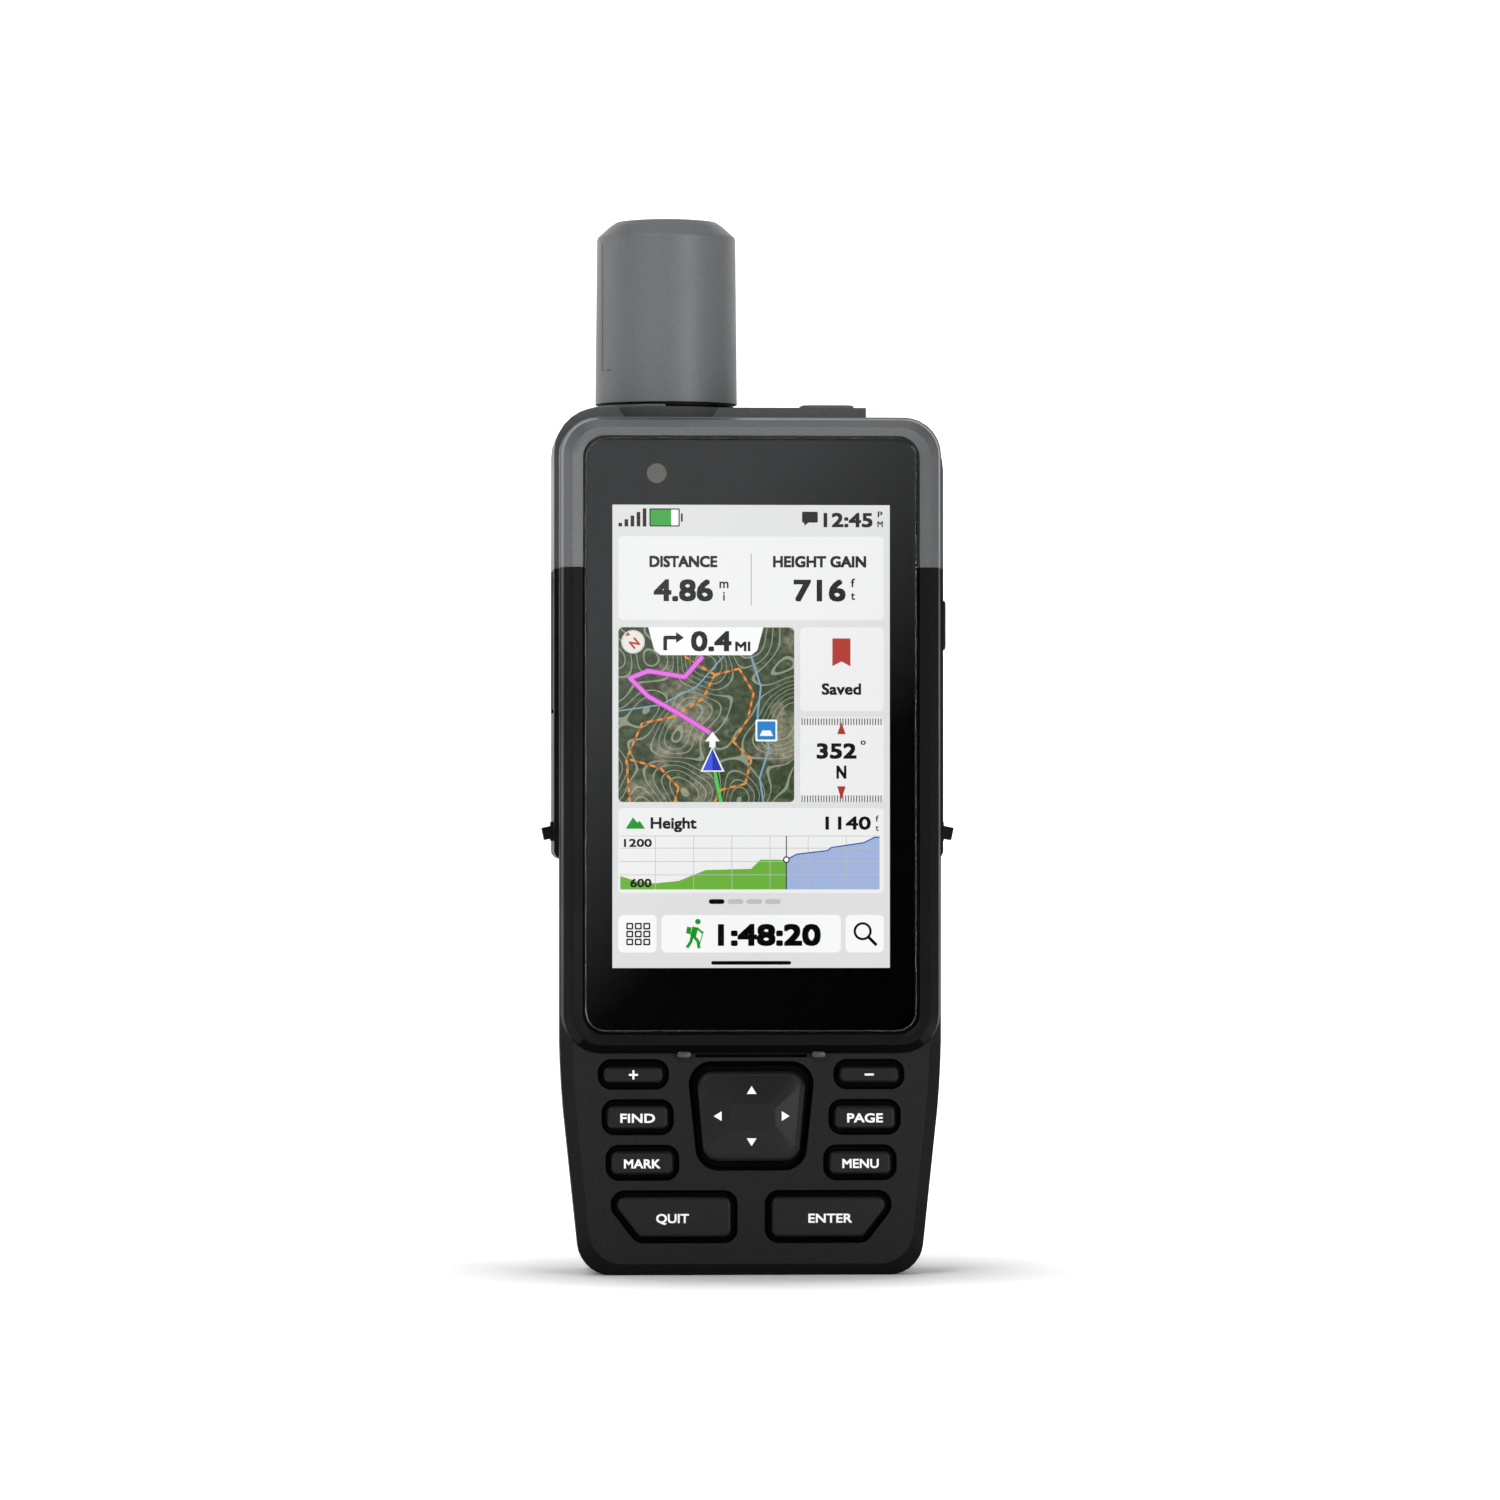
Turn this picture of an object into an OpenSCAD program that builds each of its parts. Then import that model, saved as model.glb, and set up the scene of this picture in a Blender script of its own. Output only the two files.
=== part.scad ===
// Handheld satellite navigator with a stub antenna, a portrait touch display and a keypad.
// Front is -Y, back is +Y, up is +Z. The origin is under the middle of the body, on its base.
// Millimetres.

/* [Body] */
// Half width of the front frame
front_hw = 31.55; // [31.2:0.05:31.7]
// Height of the front frame
front_top = 141.6; // [140.6:0.1:142]
// Corner radius at the top of the front frame
front_corner_r = 6.2; // [5:0.1:7]
// Height where the sides begin to draw in towards the base
waist_z = 42; // [41:0.5:44]
// Radius of the long curve that draws the sides in
waist_r = 170; // [160:5:180]
// Angle of the lower sides to the vertical
taper_deg = 6.1; // [5.8:0.1:6.4]
// Corner radius at the base
base_corner_r = 5.6; // [5:0.1:6]
// Height of the line between the grey and the black shells
colour_z = 116.7; // [116.6:0.1:116.9]
// Half width of the upper rear shell
rear_hw = 32.3; // [32.2:0.05:32.4]
// Height of the step under the upper rear shell
rear_step_z = 68.6; // [68.4:0.1:68.8]
// Height of the shoulder that carries the antenna
shoulder_top = 143.5; // [143.4:0.1:143.6]

/* [Display] */
// Half width of the cover glass
glass_hw = 27.5; // [27.4:0.05:27.6]
// Lower edge of the cover glass
glass_z0 = 40; // [39.8:0.1:40.2]
// Upper edge of the cover glass
glass_z1 = 138.1; // [137.9:0.1:138.2]
// Corner radius of the cover glass
glass_r = 3.4; // [3:0.1:3.8]

/* [Antenna] */
// Centre of the antenna, left of the middle
antenna_x = -13.35; // [-13.6:0.05:-13.1]
// Outer radius of the antenna cover at its foot
antenna_r = 11.8; // [11.6:0.1:12]
// Height of the antenna cover's foot
antenna_z0 = 144.3; // [144.3:0.1:144.6]
// Top of the antenna cover
antenna_z1 = 175.2; // [172:0.2:178]

/* [Keys] */
// How far a key goes in
key_travel = 0.6; // [0.4:0.1:0.6]
// Middle of the four-way rocker
rocker_z = 26.3; // [26.2:0.1:26.4]

/* [Hidden] */
$fn = 64;
eps = 0.01;

// Front planes, from the viewer inwards
crest_y = -18;          // highest line of the frame round the glass
keypad_y = -16.2;       // face that the keys stand in
keypad_inner_y = -14.8; // back of that face
split_y = -9;           // joint between the front and the rear shells
rear_y = 15.6;          // back of the upper rear shell
grip_y = 14.4;          // back of the lower rear shell
wall = 2.8;

glass_y0 = -17.4;
glass_y1 = -15.6;
bond_y1 = -15.4;
lip_y1 = -14.4;

lcd_hw = 24.4;
lcd_z0 = 46.5;
lcd_z1 = 129;
lcd_y1 = -13.8;
backlight_y1 = -12.2;
window_gap = 0.3;

antenna_y = 0.5;
antenna_wall = 1.6;

sensor_x = -15.8;
sensor_z = 132.3;

// Keys: name, middle x, middle z, width and height of the hole, then of the cap
KEYS = [
  ["key_plus", -19.43, 33.15, 11.7, 5.0, 9.9, 2.8],
  ["key_find", -18.72, 26.10, 11.9, 5.9, 10.2, 3.9],
  ["key_mark", -17.94, 18.60, 12.1, 5.9, 10.3, 3.9],
  ["key_minus", 19.43, 33.15, 11.7, 5.0, 9.9, 2.8],
  ["key_page", 18.72, 26.10, 11.9, 5.9, 10.2, 3.9],
  ["key_menu", 17.94, 18.60, 12.1, 5.9, 10.3, 3.9],
];
function key_row(name) = KEYS[search([name], KEYS)[0]];
key_top_y = -16.9;
key_web_y = -15.1;
key_flange_y = -14.7;
key_back_y = -14.1;
key_tip_y = -13.35;
mat_y0 = -13.05;
mat_y1 = -12.75;
dome_y0 = -12.7;
board_y0 = -12.2;
board_y1 = -11.2;
flange_grow = 0.55;
KEY_MIDDLES = concat([for (k = KEYS) [k[1], k[2]]], [[-12.5, 9.6], [12.5, 9.6]]);
ROCKER_MIDDLES = [for (p = [[-5.6, 0], [5.6, 0], [0, -4.6], [0, 4.6]]) [p[0], rocker_z + p[1]]];

// Battery bay and its door
bay_hw = 21.4;
bay_z0 = 10;
bay_z1 = 65;
bay_y0 = -1.6;
door_hw = 23.6;
door_z0 = 7.2;
door_z1 = 67;
door_r = 5;
door_y0 = 12.4;
lock_z = 17;
lock_r = 5.2;

screw_spots = [[-26, 135], [26, 135], [-25.5, 77.5], [25.5, 77.5], [-24.4, 4.8], [24.4, 4.8]];
CONTACTS = [9, 12.2, 15.4, 18.6];

// ---------------------------------------------------------------- shared shapes

// Points along a round corner
function corner(cx, cz, r, from, to, steps = 7) =
  [for (i = [0:steps]) let (a = from + (to - from) * i / steps) [cx + r * cos(a), cz + r * sin(a)]];

// Right half of the body's outline, from the base up
function body_half(hw, top, top_r, base) =
  let (
    bend = waist_z - waist_r * sin(taper_deg),
    bend_x = hw - waist_r * (1 - cos(taper_deg)),
    foot_z = base + base_corner_r * (1 - sin(taper_deg)),
    foot_x = bend_x - (bend - foot_z) * tan(taper_deg)
  )
  concat(
    corner(foot_x - base_corner_r * cos(taper_deg), base + base_corner_r, base_corner_r, -90, -taper_deg),
    corner(hw - waist_r, waist_z, waist_r, -taper_deg, 0, 5),
    corner(hw - top_r, top - top_r, top_r, 0, 90)
  );

// Outline of the whole body, drawn in by an inset
module body_outline(inset = 0, base = 0, top = front_top, hw = front_hw) {
  half = body_half(hw - inset, top - inset, max(0.5, front_corner_r - inset * 0.7), base);
  last = len(half) - 1;
  polygon(concat(half, [for (i = [last:-1:0]) [-half[i][0], half[i][1]]]));
}

// Rectangle with round corners between two heights
module plate_outline(hw, z0, z1, r, x = 0) {
  translate([x - hw + r, z0]) square([2 * (hw - r), z1 - z0]);
  translate([x - hw, z0 + r]) square([2 * hw, z1 - z0 - 2 * r]);
  for (cx = [x - hw + r, x + hw - r], cz = [z0 + r, z1 - r])
    translate([cx, cz]) circle(r);
}

// A flat outline given thickness from y0 to y1
module slab(y0, y1) {
  translate([0, y1, 0]) rotate([90, 0, 0]) linear_extrude(y1 - y0) children();
}

// A round bar along the depth
module bar_y(x, z, r, y0, y1) {
  translate([x, y1, z]) rotate([90, 0, 0]) cylinder(r = r, h = y1 - y0);
}

// A box given by its lowest and highest corners
module block(lo, hi) {
  translate(lo) cube(hi - lo);
}

// ---------------------------------------------------------------- front shell

// Outline of the raised frame round the display
module frame_outline(inset) {
  hw = front_hw - inset;
  top = front_top - inset;
  base = 36.1 + inset;
  top_r = front_corner_r - inset * 0.6;
  low_r = 6.8 - inset * 0.8;
  right = concat(
    corner(hw - low_r, base + low_r, low_r, -90, 0),
    corner(hw - top_r, top - top_r, top_r, 0, 90)
  );
  last = len(right) - 1;
  polygon(concat(right, [for (i = [last:-1:0]) [-right[i][0], right[i][1]]]));
}

module glass_outline(grow = 0) {
  plate_outline(glass_hw + grow, glass_z0 - grow, glass_z1 + grow, glass_r + grow);
}

// Hole or cap outline of the two large keys, drawn for the left one
module large_key_outline(grow) {
  r = 2;
  pts = [[-20.9, 11.8], [-20.9, 11.54], [-17.86, 7.6], [-4.5, 7.6], [-4.5, 11.8]];
  hull() for (p = pts) translate(p) circle(r + grow, $fn = 32);
}

// Hole or cap outline of the four-way rocker
module rocker_outline(top_hw, low_hw, half_h, r) {
  hull() {
    for (s = [-1, 1]) {
      translate([s * (top_hw - r), half_h - r]) circle(r, $fn = 32);
      translate([s * (low_hw - r), r - half_h]) circle(r, $fn = 32);
    }
  }
}

module key_holes() {
  for (k = KEYS)
    slab(keypad_y - 3, keypad_inner_y + 1)
      plate_outline(k[3] / 2, k[2] - k[4] / 2, k[2] + k[4] / 2, 2.2, k[1]);
  slab(keypad_y - 3, keypad_inner_y + 1) {
    large_key_outline(0.25);
    mirror([1, 0]) large_key_outline(0.25);
    translate([0, rocker_z]) rocker_outline(10.3, 9.2, 9, 3.8);
  }
}

module front_shell() {
  difference() {
    union() {
      // keypad block with its chamfered edge
      hull() {
        slab(keypad_y, keypad_y + 0.05) body_outline(2, 1.9);
        slab(keypad_y + 2, split_y) body_outline();
      }
      // raised frame: inner crest, chamfer, side
      hull() {
        slab(crest_y, crest_y + 0.05) frame_outline(1.9);
        slab(-16.7, -16.65) frame_outline(0.6);
        slab(-13.5, split_y) frame_outline(0);
      }
      // two nubs below the frame, either side of the sound slot
      for (x = [-11.05, 11.05])
        bar_y(x, 36.3, 1, -16.7, keypad_inner_y);
    }
    // room behind the keypad and behind the display lip
    slab(keypad_inner_y, split_y + 1) intersection() {
      body_outline(wall, wall);
      translate([-50, -1]) square([100, 38]);
    }
    slab(lip_y1, split_y + 1) intersection() {
      body_outline(wall, wall);
      translate([-50, 39.2]) square([100, 110]);
    }
    slab(-12.8, split_y + 1) intersection() {
      body_outline(wall, wall);
      translate([-50, 30]) square([100, 30]);
    }
    // pocket for the glass, the slope round it and the window for the panel
    slab(crest_y - 1, bond_y1) glass_outline(0.3);
    hull() {
      slab(crest_y - 0.02, crest_y) glass_outline(1.9);
      slab(crest_y + 0.5, crest_y + 0.55) glass_outline(0.3);
    }
    slab(crest_y, split_y)
      plate_outline(lcd_hw + window_gap, lcd_z0 - window_gap, lcd_z1 + window_gap, 0.8);
    bar_y(sensor_x, sensor_z, 1.9, crest_y, split_y);
    key_holes();
    // sound slot
    block([-9.2, keypad_y - 1, 35.95], [9.2, keypad_inner_y + 0.5, 36.45]);
    // groove for the gasket
    slab(split_y - 0.4, split_y + 1) gasket_outline();
  }
}

module front_housing() {
  color("#1c1d1f") difference() {
    front_shell();
    block([-50, -30, colour_z], [50, 0, 200]);
  }
}

module top_bezel() {
  color("#6c6f70") intersection() {
    front_shell();
    block([-50, -30, colour_z], [50, 0, 200]);
  }
}

module gasket_outline() {
  difference() {
    body_outline(1.5, 1.5);
    body_outline(2.3, 2.3);
  }
}

module case_gasket() {
  color("#101010") slab(split_y - 0.4, split_y + 0.4) gasket_outline();
}

// ---------------------------------------------------------------- display

module display_glass() {
  color("#0c0d0e") hull() {
    slab(glass_y0, glass_y0 + 0.05) glass_outline(-0.35);
    slab(glass_y0 + 0.35, glass_y1) glass_outline();
  }
}

module glass_bond() {
  color("#151515") slab(glass_y1, bond_y1) difference() {
    glass_outline();
    plate_outline(lcd_hw + window_gap, lcd_z0 - window_gap, lcd_z1 + window_gap, 0.8);
    translate([sensor_x, sensor_z]) circle(1.9);
  }
}

module lcd_panel() {
  color("#22262a") {
    block([-lcd_hw, glass_y1, lcd_z0], [lcd_hw, glass_y1 + 1, lcd_z1]);
    block([-lcd_hw, glass_y1 + 1, lcd_z0 + 3.6], [lcd_hw, lcd_y1, lcd_z1]);
  }
}

module backlight() {
  color("#e8e8e2") difference() {
    block([-lcd_hw, lcd_y1, lcd_z0], [lcd_hw, backlight_y1, lcd_z1]);
    block([-lcd_hw + 1.2, backlight_y1 - 0.5, lcd_z0 + 5], [lcd_hw - 1.2, backlight_y1 + 1, lcd_z1 - 1.2]);
  }
}

module light_sensor() {
  color("#4a4438") {
    bar_y(sensor_x, sensor_z, 1.6, glass_y1, -14.38);
    block([sensor_x - 2.4, -14.38, sensor_z - 1.9], [sensor_x + 2.4, -14.1, sensor_z + 1.9]);
  }
}

// ---------------------------------------------------------------- inner frame and boards

module mid_frame() {
  color("#9a9da0") difference() {
    union() {
      slab(-12.1, -11.2) plate_outline(28.4, 41.5, 136.5, 3);
      for (x = [-26.6, 26.6], z = [50, 86, 128])
        bar_y(x, z, 1.8, -11.2, -9.85);
    }
    for (x = [-26.6, 26.6], z = [50, 86, 128]) bar_y(x, z, 0.8, -12.2, -9);
    for (z = [58, 84, 110]) slab(-13, -11) plate_outline(17, z - 9, z + 9, 3);
    block([-10, -13, 40], [10, -10, 48]);
  }
}

module main_board() {
  color("#1f5134") slab(-9.8, -8.6) difference() {
    plate_outline(28.2, 43.5, 135.5, 2);
    for (x = [-26.6, 26.6], z = [50, 86, 128]) translate([x, z]) circle(1.1);
    for (p = screw_spots) translate(p) circle(3.2);
  }
}

// Pressed metal can over a group of chips
module shield(x0, z0, x1, z1, y1) {
  difference() {
    block([x0, -8.6, z0], [x1, y1, z1]);
    block([x0 + 0.3, -8.7, z0 + 0.3], [x1 - 0.3, y1 - 0.3, z1 - 0.3]);
    for (i = [0:3], j = [0:2])
      bar_y(x0 + 3 + i * (x1 - x0 - 6) / 3, z0 + 3 + j * (z1 - z0 - 6) / 2, 0.5, y1 - 1, y1 + 1);
  }
}

module processor_shield() {
  color("#b9bcbe") shield(-20, 78, 6, 100, -6.6);
}

module gnss_shield() {
  color("#b9bcbe") shield(-22, 108, 2, 128, -6.8);
}

module board_parts() {
  color("#26282b") {
    for (i = [0:4]) block([9 + i * 3, -8.6, 92], [11 + i * 3, -7.6, 95]);
    for (i = [0:3]) block([8 + i * 4, -8.6, 82], [11 + i * 4, -7.9, 87]);
    block([-9, -8.6, 64], [3, -7.3, 72]);
    block([8, -8.6, 64], [18, -7.1, 70]);
    block([-15, -8.6, 130], [-12, -6.6, 133]);
    for (i = [0:5]) block([-18 + i * 3, -8.6, 74], [-16.4 + i * 3, -7.9, 75]);
  }
}

module display_flex() {
  color("#b06a1f") {
    block([-9, -12.1, 42.4], [9, -11.95, 46.3]);
    block([-9, -11.95, 42.4], [9, -10.4, 42.55]);
    block([-9, -10.4, 42.4], [9, -10.25, 50]);
    block([-7, -10.25, 46.5], [7, -9.8, 49.5]);
  }
}

module board_screws() {
  color("#c8cacc") for (x = [-26.6, 26.6], z = [50, 86, 128]) {
    bar_y(x, z, 0.75, -11.6, -8.6);
    difference() {
      bar_y(x, z, 1.5, -8.6, -7.5);
      block([x - 0.9, -7.9, z - 0.2], [x + 0.9, -7, z + 0.2]);
      block([x - 0.2, -7.9, z - 0.9], [x + 0.2, -7, z + 0.9]);
    }
  }
}

// ---------------------------------------------------------------- keypad

module key_board() {
  color("#1f5134") slab(board_y0, board_y1) intersection() {
    body_outline(3.2, 3.2);
    translate([-50, 0]) square([100, 38.4]);
  }
}

module dome_switches() {
  color("#d8dadb") for (p = concat(KEY_MIDDLES, ROCKER_MIDDLES))
    translate([p[0], board_y0, p[1]]) rotate([90, 0, 0]) {
      cylinder(r = 1.9, h = 0.2);
      cylinder(r = 1.5, h = board_y0 - dome_y0);
    }
}

module key_mat() {
  color("#141414") slab(mat_y0, mat_y1) difference() {
    intersection() {
      body_outline(3, 3);
      translate([-50, 0]) square([100, 36.8]);
    }
    for (p = concat(KEY_MIDDLES, ROCKER_MIDDLES)) translate(p) circle(1.45);
    translate([0, rocker_z]) circle(1.9);
  }
}

// Shared build-up of a key: bevelled cap, web and flange from outlines passed as children 0, 1 and 2
module key_body(x, z) {
  hull() {
    slab(key_top_y, key_top_y + 0.05) children(3);
    slab(key_top_y + 0.45, key_web_y) children(0);
  }
  slab(key_web_y, key_flange_y) children(1);
  slab(key_flange_y, key_back_y) children(2);
  bar_y(x, z, 1, key_back_y, key_tip_y);
}

module small_key(name) {
  k = key_row(name);
  color("#222325") key_body(k[1], k[2]) {
    plate_outline(k[5] / 2, k[2] - k[6] / 2, k[2] + k[6] / 2, 1, k[1]);
    plate_outline(k[3] / 2 - 0.25, k[2] - k[4] / 2 + 0.25, k[2] + k[4] / 2 - 0.25, 1.95, k[1]);
    plate_outline(k[3] / 2 + flange_grow, k[2] - k[4] / 2 - flange_grow, k[2] + k[4] / 2 + flange_grow, 2.2, k[1]);
    plate_outline(k[5] / 2 - 0.4, k[2] - k[6] / 2 + 0.4, k[2] + k[6] / 2 - 0.4, 0.6, k[1]);
  }
}

module key_plus() { small_key("key_plus"); }
module key_find() { small_key("key_find"); }
module key_mark() { small_key("key_mark"); }
module key_minus() { small_key("key_minus"); }
module key_page() { small_key("key_page"); }
module key_menu() { small_key("key_menu"); }

module key_quit() {
  color("#222325") key_body(-12.5, 9.6) {
    large_key_outline(-0.75);
    large_key_outline(0);
    large_key_outline(0.75);
    large_key_outline(-1.1);
  }
}

module key_enter() {
  color("#222325") mirror([1, 0, 0]) key_quit();
}

module rocker_cap() {
  color("#242527") translate([0, 0, rocker_z]) {
    difference() {
      union() {
        hull() {
          slab(-17.75, -17.7) plate_outline(3.9, -2.25, 2.25, 1.4);
          slab(-17.1, -17.05) rocker_outline(8.0, 7.2, 6.5, 2);
        }
        hull() {
          slab(-17.05, -17) rocker_outline(8.4, 7.6, 6.9, 2.2);
          slab(-16.7, -15) rocker_outline(8.85, 8.0, 7.35, 2.5);
        }
        slab(-15, -14.08) rocker_outline(9.6, 8.5, 8.3, 3.2);
        slab(-14.08, -13.78) rocker_outline(10.8, 9.7, 9.45, 4);
        for (p = ROCKER_MIDDLES) bar_y(p[0], p[1] - rocker_z, 0.8, -13.78, -12.98);
      }
      bar_y(0, 0, 1.7, -14.4, -13);
    }
  }
}

module rocker_post() {
  color("#c4c6c8") bar_y(0, rocker_z, 1.5, -14.15, -12.35);
}

// ---------------------------------------------------------------- rear shell

// Lower grip: follows the front outline a little inside it, round towards the back
module grip_solid(inset = 0, y0 = split_y) {
  r = 5;
  hull() {
    slab(y0, grip_y - r) body_outline(1 + inset, inset, 100);
    for (a = [22.5:22.5:90])
      slab(grip_y - r, grip_y - r + (r - inset) * sin(a))
        body_outline(1 + r - (r - inset) * cos(a), inset + 0.5 * r * (1 - cos(a)), 100);
  }
}

// Upper block, round towards the back
module upper_solid(inset = 0, y0 = split_y) {
  r = 5;
  hull() {
    slab(y0, rear_y - r) upper_outline(inset);
    for (a = [22.5:22.5:90])
      slab(rear_y - r, rear_y - r + (r - inset) * sin(a)) upper_outline(r - (r - inset) * cos(a));
  }
}

module upper_outline(inset) {
  hw = rear_hw - inset;
  top_r = 8 - inset * 0.5;
  low_r = 1.4;
  right = concat(
    corner(hw - low_r, rear_step_z + inset + low_r, low_r, -90, 0),
    corner(hw - top_r, 141.1 - inset - top_r, top_r, 0, 90)
  );
  last = len(right) - 1;
  polygon(concat(right, [for (i = [last:-1:0]) [-right[i][0], right[i][1]]]));
}

// Shoulder that carries the antenna and the power button
module shoulder_solid() {
  hull() {
    slab(split_y + 0.6, 11) shoulder_outline(0);
    slab(split_y + 0.6, 12.6) shoulder_outline(1.2);
  }
  // the antenna's seat bulges over the front frame, and its left half stands higher
  translate([antenna_x, antenna_y, 141.7]) cylinder(r1 = 11.4, r2 = 12.2, h = shoulder_top - 141.7);
  intersection() {
    translate([antenna_x, antenna_y, shoulder_top - 0.1]) cylinder(r = 12.2, h = 0.5);
    block([-30, -20, 140], [antenna_x - 0.6, 20, 150]);
  }
}

module shoulder_outline(inset) {
  left = corner(-rear_hw + 7.6, shoulder_top - 7.6, 7.6 - inset, 180, 90);
  polygon(concat(left, [[19.5 - inset, shoulder_top - inset], [19.5 - inset, 128], [-rear_hw + inset, 128]]));
}

module rear_solid() {
  grip_solid();
  upper_solid();
  shoulder_solid();
}

module rear_room() {
  // room behind the board; the grip's room stops at the battery bay's floor
  difference() {
    intersection() {
      upper_solid(1.8, split_y - 1);
      block([-50, -20, rear_step_z + 2], [50, 30, 139.3]);
    }
    // inner walls round the socket's recess
    block([-40, split_y + 0.6, 91], [-26.9, 10.7, 118.7]);
  }
  slab(split_y - 1, bay_y0 - 1.6) intersection() {
    body_outline(3, 3, 100);
    translate([-50, 2]) square([100, 76]);
  }
}

module screw_holes() {
  for (p = screw_spots) {
    bar_y(p[0], p[1], 1.1, split_y - 1, 20);
    bar_y(p[0], p[1], 2.3, 9.4, 20);
  }
}

module screw_posts() {
  for (p = screw_spots) bar_y(p[0], p[1], 3, split_y, 14.5);
}

module rear_shell() {
  difference() {
    rear_solid();
    difference() {
      rear_room();
      intersection() {
        screw_posts();
        rear_solid();
      }
    }
    // battery bay and the rebate that the door drops into
    difference() {
      block([-bay_hw, bay_y0, bay_z0], [bay_hw, 20, bay_z1]);
      // catch for the lock
      difference() {
        bar_y(0, lock_z, 5.4, bay_y0 - 1, 10.4);
        bar_y(0, lock_z, 4.2, 6, 20);
      }
    }
    slab(door_y0 - 0.3, 20) plate_outline(door_hw + 0.25, door_z0 - 0.25, door_z1 + 0.25, door_r + 0.25);
    screw_holes();
    // window under the battery for the memory card
    block([6.8, -4, 46], [21.2, 0, 62]);
    // gasket groove
    slab(split_y - 1, split_y + 0.4) gasket_outline();
    // pocket and recess for the port cover, then the socket's window
    block([-40, -6.3, 92.9], [-30.2, 9.3, colour_z]);
    block([-31, -4, 95], [-28.4, 7, 114.5]);
    block([-29, -1.2, 101.3], [-20, 2.6, 110.7]);
    // side button
    block([29, -5.6, 103.1], [40, -0.4, 111.9]);
    block([31.9, -6.4, 101.9], [40, 0.4, 113.1]);
    // power button
    block([8.75, -3.2, 136], [18.15, 5.2, 150]);
    block([7.6, -4.2, 136], [19.3, 6.2, 141.6]);
    // way up into the antenna
    translate([antenna_x, antenna_y, 130]) cylinder(r = 4.2, h = 30);
    // torch, speaker and vent openings in the back
    bar_y(0, 129, 4.6, 10, 20);
    bar_y(0, 129, 5.42, 14, 20);
    for (i = [-2:2], j = [0:1]) bar_y(-17 + i * 2.4, 128 + j * 2.4, 0.6, 10, 20);
    bar_y(18, 129, 1.7, 10, 20);
    bar_y(18, 129, 2.42, 14, 20);
    // lanyard notch and the seat of its bar
    block([-6, 4.6, -1], [6, 20, 6]);
    bar_x(-8.5, 8.5, 12.6, 2.6, 1);
    // pockets for the side lugs
    for (s = [-1, 1]) block([s * 31.6 - 1.2, -6.5, 71.6], [s * 31.6 + 1.2, -1, 74.8]);
  }
}

// A round bar along the width
module bar_x(x0, x1, y, z, r) {
  translate([x0, y, z]) rotate([0, 90, 0]) cylinder(r = r, h = x1 - x0);
}

module rear_housing() {
  color("#1b1c1e") difference() {
    rear_shell();
    block([-50, -30, colour_z], [50, 40, 200]);
  }
}

module rear_cap() {
  color("#5f6263") intersection() {
    rear_shell();
    block([-50, -30, colour_z], [50, 40, 200]);
  }
}

module case_screws() {
  color("#3a3c3e") for (p = screw_spots) difference() {
    union() {
      bar_y(p[0], p[1], 1.05, -8.4, 9.5);
      bar_y(p[0], p[1], 2.1, 9.4, 11);
    }
    for (a = [0:60:300])
      translate([p[0], 11.5, p[1]]) rotate([90, a, 0]) translate([0.45, -0.25, 0]) cube([0.5, 0.5, 1.6]);
    bar_y(p[0], p[1], 0.7, 9.9, 12);
  }
}

module side_lugs() {
  color("#232427") for (s = [-1, 1]) {
    block([s * 31.6 - 1.2, -6.5, 71.6], [s * 31.6 + 1, -1, 74.8]);
    translate([s * 32.4, -3.75, 73.1]) rotate([0, s * 12, 0]) translate([s * 0.2, 0, 0])
      cube([3, 5, 2.1], center = true);
  }
}

module lanyard_bar() {
  color("#c8cacc") bar_x(-8.4, 8.4, 12.6, 2.6, 0.98);
}

module mount_spine() {
  // a dovetail rail with an end stop and a catch notch
  color("#26272a") difference() {
    union() {
      translate([0, 0, 78]) linear_extrude(30)
        polygon([[-6, rear_y], [6, rear_y], [8.5, 18], [-8.5, 18]]);
      block([-8.5, rear_y, 108], [8.5, 18, 111]);
    }
    block([-4, 16.6, 82], [4, 20, 86]);
    block([-3, 17.2, 90], [3, 20, 106]);
  }
}

module torch_lens() {
  color("#dfe6ea") difference() {
    union() {
      bar_y(0, 129, 5.4, 14, 15.3);
      bar_y(0, 129, 4.4, 12.5, 14);
    }
    translate([0, 11.2, 129]) sphere(r = 3.2);
  }
}

module torch_led() {
  color("#f2e9a8") {
    block([-1.8, 7.6, 127.2], [1.8, 8.2, 130.8]);
    block([-4, 6.6, 125], [4, 7.6, 133]);
    bar_y(0, 129, 1, 8.2, 8.8);
    bar_y(0, 130.6, 1.4, -8.6, 6.6);
  }
}

module speaker() {
  color("#2a2b2d") difference() {
    union() {
      block([-24, 9.2, 124], [-10, 13, 134]);
      block([-22.8, 13, 125.4], [-11.2, 13.8, 132.6]);
    }
    block([-22.3, 13.2, 126.4], [-11.7, 14, 131.9]);
    // corner cut back round the screw post
    bar_y(-26, 135, 3.5, 8, 15);
  }
}

module pressure_vent() {
  color("#c9c9c4") {
    bar_y(18, 129, 2.4, 14, 14.4);
    bar_y(18, 129, 1.6, 13.5, 14);
  }
}

// ---------------------------------------------------------------- side fittings

module port_cover() {
  color("#101112") {
    difference() {
      block([-32.1, -6.1, 93.93], [-30.4, 9.1, colour_z - 0.15]);
      // finger notch at its free end
      block([-33, -1.5, 113.6], [-31.6, 4.5, 115.2]);
    }
    // rolled edge that it turns on
    bar_y(-31.25, 93.93, 0.85, -6.1, 9.1);
    block([-30.4, -2.4, 97], [-29.2, 5.4, 112.5]);
    block([-29.2, -0.8, 101.7], [-27.8, 2.2, 110.3]);
  }
}

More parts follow.
